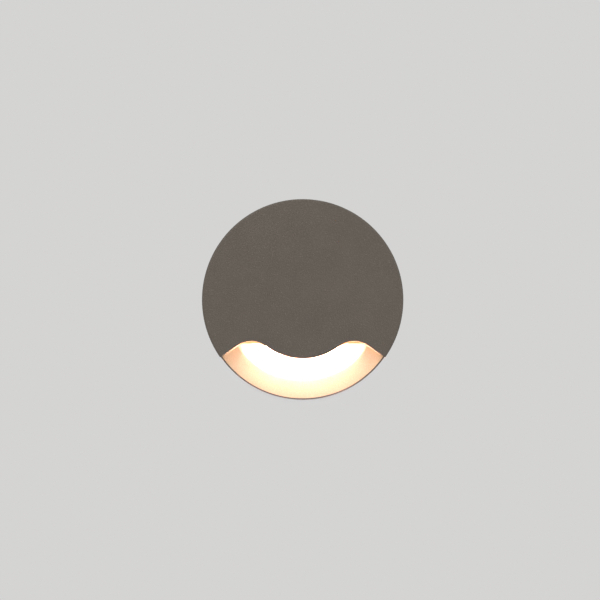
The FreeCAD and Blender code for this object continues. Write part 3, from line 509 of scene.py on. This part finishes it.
SPRING_WIRE = Finish("spring_wire", srgb(186, 184, 181), srgb(212, 210, 207), (0.22, 0.38), 0.0003,
                     Grain.CAST, 0.00004, metallic=1.0)
SLEEVE_RUBBER = Finish("arm_sleeve_rubber", srgb(160, 55, 42), srgb(180, 71, 54), (0.50, 0.68), 0.0007,
                       relief=0.00004)
FLOOR_PAINT = Finish("studio_floor_paint", srgb(222, 221, 219), srgb(228, 227, 225), (0.7, 0.8), 0.004,
                     relief=0.00005)


def dress(finishes: Mapping[Finish, Sequence[str]]) -> None:
    """Gives CAD nodes their finishes.

    Args:
        finishes: for each finish, the nodes that have it.
    """
    for finish, names in finishes.items():
        material = finish.material()
        for name in names:
            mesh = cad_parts[name].data
            mesh.materials.clear()
            mesh.materials.append(material)


def mm(*lengths: float) -> tuple[float, ...]:
    """Turns millimetres into metres."""
    return tuple(length * MM for length in lengths)


class Shaper:
    """One piece under work, shaped in edit mode by the operators that a modeller uses."""

    def __init__(self, name: str, primitive: Callable[..., object], **settings: object) -> None:
        """Adds the primitive that the piece starts from.

        Args:
            name: the piece's name.
            primitive: the operator that adds it.
            settings: the operator's settings.
        """
        bpy.ops.object.select_all(action="DESELECT")
        primitive(**settings)
        self.piece = bpy.context.object
        self.piece.name = name
        self.piece.data.name = name
        bpy.ops.object.transform_apply(location=True, rotation=True, scale=True)
        self.open()

    @classmethod
    def point(cls, name: str, place: Sequence[float]) -> "Shaper":
        """Starts a piece from one vertex, a plane merged to its middle.

        Args:
            name: the piece's name.
            place: the vertex's place in metres.

        Returns:
            The piece under work.
        """
        shaper = cls(name, bpy.ops.mesh.primitive_plane_add, size=MM, location=place)
        bpy.ops.mesh.select_all(action="SELECT")
        bpy.ops.mesh.merge(type="CENTER")
        return shaper

    @classmethod
    def copy(cls, name: str, node: str) -> "Shaper":
        """Starts a piece from a merged copy of a CAD node.

        Args:
            name: the piece's name.
            node: the CAD node's name.

        Returns:
            The piece under work, all selected.
        """
        bpy.ops.object.select_all(action="DESELECT")
        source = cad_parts[node]
        shaper = cls.__new__(cls)
        shaper.piece = bpy.data.objects.new(name, source.data.copy())
        shaper.piece.data.materials.clear()
        bpy.context.scene.collection.objects.link(shaper.piece)
        shaper.piece.select_set(True)
        bpy.context.view_layer.objects.active = shaper.piece
        bpy.ops.mesh.customdata_custom_splitnormals_clear()
        shaper.open()
        bpy.ops.mesh.select_all(action="SELECT")
        bpy.ops.mesh.remove_doubles(threshold=MERGE)
        bpy.ops.mesh.dissolve_limited(angle_limit=math.radians(FLAT))
        return shaper

    def open(self) -> None:
        """Enters edit mode, set to work on vertices."""
        bpy.context.view_layer.objects.active = self.piece
        bpy.ops.object.mode_set(mode="EDIT")
        bpy.ops.mesh.select_mode(type="VERT")

    def close(self) -> None:
        """Leaves edit mode."""
        bpy.ops.object.mode_set(mode="OBJECT")

    def spin(self, degrees: float, centre: Sequence[float], axis: Sequence[float], steps: int) -> None:
        """Sweeps what is selected round an axis.

        Args:
            degrees: how far.
            centre: a point on the axis, in metres.
            axis: the axis's direction.
            steps: in how many steps.
        """
        bpy.ops.mesh.spin(steps=steps, angle=math.radians(degrees), center=centre, axis=axis)

    def extrude(self, way: Sequence[float]) -> None:
        """Extrudes what is selected along a vector in metres."""
        bpy.ops.mesh.extrude_region_move(TRANSFORM_OT_translate={"value": way})

    def pick(self, kind: str, wanted: Callable[..., bool]) -> int:
        """Selects the edges or the faces that pass a test, and nothing else.

        Args:
            kind: EDGE or FACE.
            wanted: the test of one edge or face.

        Returns:
            How many there are.
        """
        bpy.ops.mesh.select_all(action="DESELECT")
        bpy.ops.mesh.select_mode(type=kind)
        mesh = bmesh.from_edit_mesh(self.piece.data)
        chosen = [item for item in (mesh.edges if kind == "EDGE" else mesh.faces) if wanted(item)]
        for item in chosen:
            item.select_set(True)
        bmesh.update_edit_mesh(self.piece.data)
        return len(chosen)

    def slice(self, wanted: Callable[[bmesh.types.BMFace], bool], middle: Vector, across: Vector,
              pitch: float, count: int) -> None:
        """Cuts the faces that pass a test into strips, and leaves the strips selected.

        Args:
            wanted: the test.
            middle: the middle of the strips, in metres.
            across: the direction across the strips, of length 1.
            pitch: the strips' width in metres.
            count: how many cuts.
        """
        for step in range(count):
            self.pick("FACE", wanted)
            offset = (step - (count - 1) / 2.0) * pitch
            bpy.ops.mesh.bisect(plane_co=middle + across * offset, plane_no=across)
        self.pick("FACE", wanted)

    def bevel(self, width: float, segments: int) -> None:
        """Rounds the selected edges.

        Args:
            width: the round's radius in metres.
            segments: in how many steps.
        """
        bpy.ops.mesh.bevel(offset=width, offset_type="OFFSET", segments=segments, profile=0.5, affect="EDGES",
                           clamp_overlap=True)

    def inset(self, width: float, depth: float = 0.0, each: bool = False) -> None:
        """Insets the selected faces.

        Args:
            width: the border's width in metres.
            depth: how far the inner faces are raised, in metres.
            each: whether every face gets a border of its own.
        """
        bpy.ops.mesh.inset(thickness=width, depth=depth, use_individual=each)

    def soften(self, width: float, angle: float) -> None:
        """Rounds every sharp edge a little.

        Args:
            width: the round's radius in metres.
            angle: the least angle between faces that counts as sharp, in degrees.
        """
        bpy.ops.mesh.select_all(action="DESELECT")
        bpy.ops.mesh.select_mode(type="EDGE")
        bpy.ops.mesh.edges_select_sharp(sharpness=math.radians(angle))
        self.bevel(width, SOFT_STEPS)

    def tidy(self) -> None:
        """Merges doubles and turns all faces outwards."""
        bpy.ops.mesh.select_all(action="SELECT")
        bpy.ops.mesh.remove_doubles(threshold=MERGE)
        bpy.ops.mesh.normals_make_consistent(inside=False)

    def take(self, other: "Shaper", operation: str = "UNION") -> None:
        """Joins another piece to this one, or cuts it away, and deletes it.

        Args:
            other: the other piece, out of edit mode.
            operation: UNION or DIFFERENCE.
        """
        bpy.context.view_layer.objects.active = self.piece
        bpy.ops.object.modifier_add(type="BOOLEAN")
        modifier = self.piece.modifiers[-1]
        modifier.operation = operation
        modifier.solver = "EXACT"
        modifier.object = other.piece
        bpy.ops.object.modifier_apply(modifier=modifier.name)
        bpy.data.objects.remove(other.piece)

    def paint(self, finish: Finish) -> None:
        """Gives the selected faces a second finish.

        Args:
            finish: the finish.
        """
        if not self.piece.material_slots:
            bpy.ops.object.material_slot_add()
        bpy.ops.object.material_slot_add()
        self.piece.material_slots[-1].material = finish.material()
        self.piece.active_material_index = len(self.piece.material_slots) - 1
        bpy.ops.object.material_slot_assign()

    def finish(self, finish: Finish, slot: str, replaced: str) -> None:
        """Shades the piece, gives it its finish and hides the CAD node that it stands for.

        Args:
            finish: its finish.
            slot: the material slot of the record that it takes; not used.
            replaced: the CAD node that it stands for.
        """
        if bpy.context.mode == "EDIT_MESH":
            self.close()
        bpy.ops.object.select_all(action="DESELECT")
        self.piece.select_set(True)
        bpy.context.view_layer.objects.active = self.piece
        bpy.ops.object.shade_smooth_by_angle(angle=math.radians(SMOOTH))
        bpy.ops.object.modifier_add(type="WEIGHTED_NORMAL")
        self.piece.modifiers[-1].keep_sharp = True
        bpy.ops.object.modifier_apply(modifier=self.piece.modifiers[-1].name)
        if not self.piece.material_slots:
            bpy.ops.object.material_slot_add()
        self.piece.material_slots[0].material = finish.material()
        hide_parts(replaced)


@dataclass
class FaceCap:
    """The round cover with its crescent cut-out, in millimetres."""

    radius: float = 40.0
    front: float = -8.0
    plate: float = 2.0
    rear: float = -2.4
    wall: float = 1.5
    round: float = 0.8
    round_steps: int = 6
    inner: float = 23.5
    corner: float = 9.5
    half_angle: float = 55.0
    edge: float = 0.4
    edge_steps: int = 3
    edge_turn: float = 25.0
    edge_lean: float = 0.05
    post: float = 3.0
    posts: tuple[tuple[float, float], ...] = ((-20.0, 18.0), (20.0, 18.0), (-20.0, -5.0), (20.0, -5.0))
    post_wall: float = 1.45
    post_hole: float = 2.6
    post_sunk: float = 0.5
    core_round: float = 0.4
    overrun: float = 1.0
    rim_steps: int = 250
    corner_steps: int = 40
    tongue_steps: int = 60
    core_steps: int = 360
    post_steps: int = 48

    def build(self) -> None:
        """Builds the cover: a rounded blank, hollowed from behind, with its posts."""
        cap = self.blank()
        cap.take(self.core(), "DIFFERENCE")
        for place in self.posts:
            cap.take(self.post_piece(place))
        cap.open()
        cap.tidy()
        cap.finish(POWDER_COAT, "face_paint", "face_cap")
        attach(cap.piece, "root")

    def ray(self, degrees: float, radius: float, y: float) -> tuple[float, ...]:
        """Gives a point by its angle from straight down, positive to the right.

        Args:
            degrees: the angle.
            radius: the distance from the middle.
            y: the depth.

        Returns:
            The point in metres.
        """
        angle = math.radians(degrees)
        return mm(radius * math.sin(angle), y, -radius * math.cos(angle))

    def outline(self) -> Shaper:
        """Draws the outline of the face: the rim, then the cut-out with its two round corners.

        Returns:
            The outline under work, all selected.
        """
        middle = mm(0.0, self.front, 0.0)
        lean = math.degrees(math.asin(self.corner / (self.inner + self.corner)))
        line = math.sqrt((self.inner + self.corner) ** 2 - self.corner ** 2)
        turn = 90.0 - lean
        plate = Shaper.point("face_cap_cover", self.ray(self.half_angle, self.radius, self.front))
        plate.spin(360.0 - 2.0 * self.half_angle, middle, REARWARD, self.rim_steps)
        rim = Vector(self.ray(-self.half_angle, self.radius, self.front))
        plate.extrude(Vector(self.ray(-self.half_angle, line, self.front)) - rim)
        left = self.ray(lean - self.half_angle, self.inner + self.corner, self.front)
        plate.spin(-turn, left, REARWARD, self.corner_steps)
        plate.spin(2.0 * (self.half_angle - lean), middle, REARWARD, self.tongue_steps)
        right = self.ray(self.half_angle - lean, self.inner + self.corner, self.front)
        plate.spin(-turn, right, REARWARD, self.corner_steps)
        bpy.ops.mesh.select_all(action="SELECT")
        bpy.ops.mesh.remove_doubles(threshold=NEAR)
        return plate

    def blank(self) -> Shaper:
        """Fills the outline, gives it its depth and rounds its edges.

        Returns:
            The blank, out of edit mode.
        """
        plate = self.outline()
        bpy.ops.mesh.edge_face_add()
        plate.extrude(mm(0.0, self.rear - self.front, 0.0))
        plate.tidy()
        count = plate.pick("EDGE", self.on_rim)
        plate.bevel(self.round * MM, self.round_steps)
        cut = plate.pick("EDGE", self.on_cut)
        plate.bevel(self.edge * MM, self.edge_steps)
        LOG.info("face cap: %d rim edges, %d cut-out edges", count, cut)
        plate.close()
        return plate

    def on_rim(self, edge: bmesh.types.BMEdge) -> bool:
        """Tests whether an edge is on the rim's front.

        Args:
            edge: the edge.

        Returns:
            Whether it is.
        """
        ends = [vertex.co for vertex in edge.verts]
        in_front = all(abs(end.y - self.front * MM) < NEAR for end in ends)
        on_circle = all(abs(math.hypot(end.x, end.z) - self.radius * MM) < 2.0 * NEAR for end in ends)
        return edge.calc_length() < MM and in_front and on_circle

    def on_cut(self, edge: bmesh.types.BMEdge) -> bool:
        """Tests whether one face of an edge looks forward and the other into the cut-out.

        Args:
            edge: the edge.

        Returns:
            Whether it is so.
        """
        if len(edge.link_faces) != 2:
            return False
        forward, aside = sorted(face.normal.y for face in edge.link_faces)
        sharp = edge.calc_face_angle(0.0) > math.radians(self.edge_turn)
        return forward < -self.edge_lean and abs(aside) < SQUARE and sharp

    def rod(self, name: str, radius: float, front: float, rear: float, steps: int, x: float = 0.0,
            z: float = 0.0) -> Shaper:
        """Starts a round rod that runs from front to rear.

        Args:
            name: the rod's name.
            radius: its radius.
            front: the depth of its front end.
            rear: the depth of its rear end.
            steps: in how many steps it is round.
            x: its place across.
            z: its height.

        Returns:
            The rod under work.
        """
        return Shaper(name, bpy.ops.mesh.primitive_cylinder_add, vertices=steps, radius=radius * MM,
                      depth=(rear - front) * MM, location=mm(x, (front + rear) / 2.0, z),
                      rotation=(math.radians(90.0), 0.0, 0.0))

    def core(self) -> Shaper:
        """Makes the round core that hollows the cover from behind and leaves its skirt.

        Returns:
            The core, out of edit mode.
        """
        floor = self.front + self.plate
        core = self.rod("face_cap_core", self.radius - self.wall, floor, self.rear + self.overrun,
                        self.core_steps)
        core.pick("EDGE", lambda edge: all(vertex.co.y < floor * MM + NEAR for vertex in edge.verts))
        core.bevel(self.core_round * MM, self.edge_steps)
        core.close()
        return core

    def post_piece(self, place: tuple[float, float]) -> Shaper:
        """Makes a post that a screw goes into from behind, with its hole.

        Args:
            place: its x and z.

        Returns:
            The post, out of edit mode.
        """
        post = self.rod("face_cap_post", self.post, self.front + self.plate - self.post_sunk, self.rear,
                        self.post_steps, *place)
        post.pick("FACE", lambda face: face.normal.y > FACING)
        post.inset(self.post_wall * MM)
        post.extrude(mm(0.0, -self.post_hole, 0.0))
        post.close()
        return post


@dataclass(frozen=True)
class Copied:
    """A CAD node that is carried over with its sharp edges rounded."""

    node: str
    finish: Finish
    slot: str
    width: float
    body: str = "root"
    angle: float = 35.0

    def build(self) -> None:
        """Copies the node, rounds its edges and hangs it on its body."""
        piece = Shaper.copy(self.node + "_worked", self.node)
        self.rework(piece)
        piece.soften(self.width * MM, self.angle)
        piece.finish(self.finish, self.slot, self.node)
        self.hang(piece)

    def hang(self, piece: Shaper) -> None:
        """Hangs the piece on its body.

        Args:
            piece: the piece under work.
        """
        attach(piece.piece, self.body)

    def rework(self, piece: Shaper) -> None:
        """Adds the shapes that only some copies have, here none.

        Args:
            piece: the piece under work.
        """


def in_plane(middle: Vector, normal: Vector) -> Callable[[bmesh.types.BMFace], bool]:
    """Makes a test for the faces that lie in a plane.

    Args:
        middle: a point of the plane, in metres.
        normal: the plane's normal.

    Returns:
        The test.
    """
    return lambda face: (face.normal.dot(normal) > FACING
                         and abs((face.calc_center_median() - middle).dot(normal)) < NEAR)


def work(finish: Finish, slot: str, width: float, *nodes: str) -> None:
    """Carries nodes of one finish over with their edges rounded.

    Args:
        finish: their finish.
        slot: the record's material slot.
        width: the round's radius in millimetres.
        nodes: the nodes.
    """
    for node in nodes:
        Copied(node, finish, slot, width).build()


@dataclass(frozen=True)
class PressedArm(Copied):
    """A clip arm with a stiffening rib pressed into its long leg."""

    inset: float = 2.6
    ramp: float = 0.7
    rise: float = 0.35

    def rework(self, piece: Shaper) -> None:
        """Presses the rib outwards from the long outer face.

        Args:
            piece: the arm under work.
        """
        mesh = bmesh.from_edit_mesh(piece.piece.data)
        outer = [face for face in mesh.faces
                 if abs(face.normal.z) < SQUARE and face.normal.x * face.calc_center_median().x > 0.0]
        long_face = max(outer, key=lambda face: face.calc_area())
        middle = long_face.calc_center_median().copy()
        normal = long_face.normal.copy()
        piece.pick("FACE", lambda face: (face.calc_center_median() - middle).length < NEAR)
        piece.inset(self.inset * MM)
        piece.inset(self.ramp * MM)
        bpy.ops.transform.translate(value=normal * self.rise * MM)


@dataclass(frozen=True)
class WoundSpring(Copied):
    """A torsion spring between the can and the arm, fixed in place; it does not turn with the arm."""

    half_height: float = 1.8

    def hang(self, piece: Shaper) -> None:
        """Bakes the spring's place into its mesh and hangs it on no body, so it does not turn with the arm.

        Args:
            piece: the spring under work.
        """
        low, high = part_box("clip_pin" + self.node[len("clip_spring"):])
        x, y = (low[0] + high[0]) / 2.0, (low[1] + high[1]) / 2.0
        half = self.half_height * MM
        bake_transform(piece.piece, "root", self.body, (x, y, -half), (x, y, half))


@dataclass(frozen=True)
class GripSleeve(Copied):
    """A moulded sleeve with ribs across its outer side."""

    pitch: float = 1.9
    cuts: int = 5
    groove: float = 0.28
    proud: float = 0.22
    least_area: float = 20.0

    def rework(self, piece: Shaper) -> None:
        """Raises the ribs.

        Args:
            piece: the sleeve under work.
        """
        mesh = bmesh.from_edit_mesh(piece.piece.data)
        large = [face for face in mesh.faces if face.calc_area() > self.least_area * MM * MM]
        outer = max(large, key=lambda face: abs(face.calc_center_median().x))
        middle = outer.calc_center_median().copy()
        piece.slice(in_plane(middle, outer.normal.copy()), middle, Vector((0.0, 0.0, 1.0)), self.pitch * MM,
                    self.cuts)
        piece.inset(self.groove * MM, self.proud * MM, each=True)


@dataclass(frozen=True)
class GripNut(Copied):
    """A moulded hexagon with grooves sunk across each of its flats."""

    pitch: float = 1.7
    cuts: int = 4
    border: float = 0.5
    sunk: float = 0.35
    least_area: float = 12.0

    def rework(self, piece: Shaper) -> None:
        """Sinks the grooves of the six flats.

        Args:
            piece: the nut under work.
        """
        flats = self.flats(piece)
        for middle, normal in flats:
            across = normal.cross(REARWARD).normalized()
            piece.slice(in_plane(middle, normal), middle, across, self.pitch * MM, self.cuts)
            piece.inset(self.border * MM, -self.sunk * MM, each=True)

    def flats(self, piece: Shaper) -> list[tuple[Vector, Vector]]:
        """Finds the flats.

        Args:
            piece: the piece under work.

        Returns:
            The middle and the normal of each flat.
        """
        mesh = bmesh.from_edit_mesh(piece.piece.data)
        return [(face.calc_center_median().copy(), face.normal.copy()) for face in mesh.faces
                if abs(face.normal.y) < SQUARE and face.calc_area() > self.least_area * MM * MM]


@dataclass(frozen=True)
class Capacitors(Copied):
    """The two capacitors: a shrunk sleeve that ends in a rolled lip round the bare top."""

    lip: float = 0.7
    ramp: float = 0.12
    sunk: float = 0.15
    least_area: float = 5.0

    def rework(self, piece: Shaper) -> None:
        """Sinks the top of each inside its lip and bares it.

        Args:
            piece: the capacitors under work.
        """
        least = self.least_area * MM * MM
        piece.pick("FACE", lambda face: face.normal.y > FACING and face.calc_area() > least)
        piece.inset(self.lip * MM, each=True)
        piece.inset(self.ramp * MM, -self.sunk * MM, each=True)
        piece.paint(ALUMINIUM)


@dataclass(frozen=True)
class Chips(Copied):
    """The three LED chips: a white frame round a window of phosphor."""

    border: float = 0.4
    ramp: float = 0.05
    sunk: float = 0.1

    def rework(self, piece: Shaper) -> None:
        """Sinks each window into its frame.

        Args:
            piece: the chips under work.
        """
        piece.pick("FACE", lambda face: face.normal.z < -FACING)
        piece.inset(self.border * MM, each=True)
        piece.inset(self.ramp * MM, -self.sunk * MM, each=True)
        piece.paint(PHOSPHOR)


@dataclass
class Chassis:
    """The casting behind the face: flange, deck and spigot, its gasket and its screws."""

    edge: float = 0.25
    foam_edge: float = 0.5
    screw_edge: float = 0.1

    def build(self) -> None:
        """Works the casting, its gasket and its screws."""
        work(CASTING_COAT, "casting_paint", self.edge, "chassis")
        work(FOAM, "foam_black", self.foam_edge, "wall_gasket")
        work(STAINLESS, "stainless", self.screw_edge, "face_screws")


@dataclass
class LightScoop:
    """The pale insert that throws the light down the wall."""

    edge: float = 0.12
    angle: float = 50.0

    def build(self) -> None:
        """Rounds the insert's lip."""
        Copied("light_scoop", SCOOP_COAT, "scoop_coat", self.edge, angle=self.angle).build()


@dataclass
class LightEngine:
    """The LED board under its bracket, hidden behind the tongue of the face."""

    edge: float = 0.15
    screw_edge: float = 0.1
    chip_edge: float = 0.05

    def build(self) -> None:
        """Works the bracket, the chips and the screws and dresses the rest."""
        work(ALUMINIUM, "bare_aluminium", self.edge, "led_bracket")
        work(STAINLESS, "stainless", self.screw_edge, "bracket_screws", "board_screws")
        Chips("led_chips", BOARD_WHITE, "phosphor", self.chip_edge).build()
        dress({SILICONE_GREY: ["thermal_pad"], BOARD_WHITE: ["led_board"],
               SILICONE_WHITE: ["lens_gasket"], LENS_OPAL: ["led_lens"],
               WIRE_RED: ["led_lead_red"], WIRE_BLACK: ["led_lead_black"], RUBBER: ["lead_grommet"]})


@dataclass
class DriverCan:
    """The can behind the wall with its rear cover and seals."""

    edge: float = 0.4
    seal_edge: float = 0.2
    screw_edge: float = 0.1

    def build(self) -> None:
        """Works the can, its cover, their seals and screws and dresses the rest."""
        work(CASTING_COAT, "casting_paint", self.edge, "driver_can", "rear_cover")
        work(RUBBER, "rubber_black", self.seal_edge, "can_seal", "cover_seal")
        work(STAINLESS, "stainless", self.screw_edge, "can_screws", "cover_screws", "earth_screw",
             "earth_washer")
        dress({TIN: ["earth_lug"], WIRE_EARTH: ["earth_lead"], LINER_WHITE: ["driver_liner"]})


@dataclass
class Driver:
    """The driver's board with its parts and its terminal block."""

    edge: float = 0.25
    winding_edge: float = 0.5
    small_edge: float = 0.1

    def build(self) -> None:
        """Works the block, the transformer, the capacitors and the screws and dresses the rest."""
        work(TERMINAL, "terminal_plastic", self.edge, "terminal_block")
        work(FERRITE, "ferrite", self.edge, "transformer_core")
        work(TAPE, "tape_yellow", self.winding_edge, "transformer_winding")
        work(BRASS, "brass", self.small_edge, "terminal_clamps")
        work(STAINLESS, "stainless", self.small_edge, "driver_screws", "terminal_screws")
        Capacitors("driver_capacitors", SLEEVE, "cap_sleeve", self.small_edge).build()
        dress({BOARD_GREEN: ["driver_board"], FERRITE: ["driver_choke"], FUSE: ["driver_fuse"],
               CHIP: ["driver_chips"]})


@dataclass
class CableGland:
    """The gland in the rear cover: body, seal, bush and a nut with grip ribs."""

    edge: float = 0.15

    def build(self) -> None:
        """Works the body and the nut and dresses the soft pieces."""
        work(GLAND, "gland_plastic", self.edge, "gland_body", "gland_locknut")
        GripNut("gland_nut", GLAND, "gland_plastic", self.edge).build()
        work(RUBBER, "rubber_black", self.edge, "gland_seal", "gland_bush")


@dataclass
class SpringClips:
    """The two clips that pull the light against the wall."""

    sheet_edge: float = 0.12
    pin_edge: float = 0.15
    wire_edge: float = 0.08
    wire_angle: float = 60.0

    def build(self) -> None:
        """Works both clips."""
        for side in ("right", "left"):
            arm = "clip_" + side
            work(ZINC, "zinc_plate", self.sheet_edge, "clip_bracket_" + side)
            work(STAINLESS, "stainless", self.pin_edge, "clip_pin_" + side)
            PressedArm("clip_arm_" + side, SPRING, "spring_steel", self.sheet_edge, arm).build()
            GripSleeve("clip_sleeve_" + side, SLEEVE_RUBBER, "sleeve_rubber", self.sheet_edge, arm).build()
            WoundSpring("clip_spring_" + side, SPRING_WIRE, "spring_steel", self.wire_edge, arm,
                        angle=self.wire_angle).build()
        work(ZINC, "zinc_plate", self.pin_edge, "bracket_rivets")


@dataclass(frozen=True)
class Lamp:
    """A soft square lamp that looks at the light."""

    name: str
    place: tuple[float, float, float]
    size: float
    power: float

    def build(self) -> None:
        """Hangs the lamp."""
        lamp = bpy.data.objects.new(self.name, bpy.data.lights.new(self.name, "AREA"))
        lamp.data.size = self.size
        lamp.data.energy = self.power
        lamp.location = self.place
        lamp.rotation_euler = (-Vector(self.place)).to_track_quat("-Z", "Y").to_euler()
        bpy.context.scene.collection.objects.link(lamp)


@dataclass
class Studio:
    """The floor, the pale background, the lamps and the camera."""

    floor_z: float = -0.45
    floor_radius: float = 1.7
    floor_steps: int = 128
    distance: float = 0.6612
    lens: float = 100.0
    sensor: float = 36.0
    aside: float = -0.00106
    down: float = -0.0001
    ambient: float = 0.45
    backdrop: float = 0.66
    sky: Colour = (1.0, 0.995, 0.985)
    lamps: tuple[Lamp, ...] = (Lamp("key", (-0.55, -0.75, 0.75), 0.9, 8.0),
                               Lamp("fill", (0.75, -0.60, 0.25), 1.0, 4.0),
                               Lamp("rim", (0.25, 0.80, 0.60), 0.8, 6.0))

    def build(self) -> None:
        """Builds the studio."""
        self.world()
        self.floor()
        for lamp in self.lamps:
            lamp.build()
        self.camera()

    def world(self) -> None:
        """Makes the world: soft light all round, and a pale grey where it is seen or mirrored."""
        world = bpy.data.worlds.new("studio_world")
        bpy.context.scene.world = world
        world.use_nodes = True
        tree = world.node_tree
        rays = tree.nodes.new("ShaderNodeLightPath")
        seen = tree.nodes.new("ShaderNodeMath")
        seen.operation = "ADD"
        seen.use_clamp = True
        mirrored = tree.nodes.new("ShaderNodeMath")
        mirrored.operation = "ADD"
        tree.links.new(rays.outputs["Is Glossy Ray"], mirrored.inputs[0])
        tree.links.new(rays.outputs["Is Transmission Ray"], mirrored.inputs[1])
        tree.links.new(rays.outputs["Is Camera Ray"], seen.inputs[0])
        tree.links.new(mirrored.outputs[0], seen.inputs[1])
        level = tree.nodes.new("ShaderNodeMapRange")
        level.inputs["To Min"].default_value = self.ambient
        level.inputs["To Max"].default_value = self.backdrop
        tree.links.new(seen.outputs[0], level.inputs["Value"])
        background = tree.nodes["Background"]
        background.inputs["Color"].default_value = (*self.sky, 1.0)
        tree.links.new(level.outputs[0], background.inputs["Strength"])

    def floor(self) -> None:
        """Makes the plain pale floor."""
        bpy.ops.mesh.primitive_circle_add(vertices=self.floor_steps, radius=self.floor_radius,
                                          fill_type="NGON", location=(0.0, 0.0, self.floor_z))
        floor = bpy.context.object
        floor.name = "studio_floor"
        floor.data.materials.append(FLOOR_PAINT.material())

    def camera(self) -> None:
        """Sets the camera straight in front of the face."""
        camera = bpy.data.objects.new("camera", bpy.data.cameras.new("camera"))
        camera.data.lens = self.lens
        camera.data.sensor_width = self.sensor
        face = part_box("face_cap")[0][1]
        camera.location = (self.aside, face - self.distance, self.down)
        camera.rotation_euler = (math.radians(90.0), 0.0, 0.0)
        bpy.context.scene.collection.objects.link(camera)
        bpy.context.scene.camera = camera


def main() -> None:
    """Builds the light piece by piece, then the studio."""
    logging.basicConfig(level=logging.INFO, format="%(name)s: %(message)s")
    bpy.context.scene.view_settings.view_transform = "Standard"
    for part in (FaceCap(), LightScoop(), LightEngine(), Chassis(), DriverCan(), Driver(), CableGland(),
                 SpringClips(), Studio()):
        part.build()
        LOG.info("built %s", type(part).__name__)


if __name__ == "__main__":
    main()
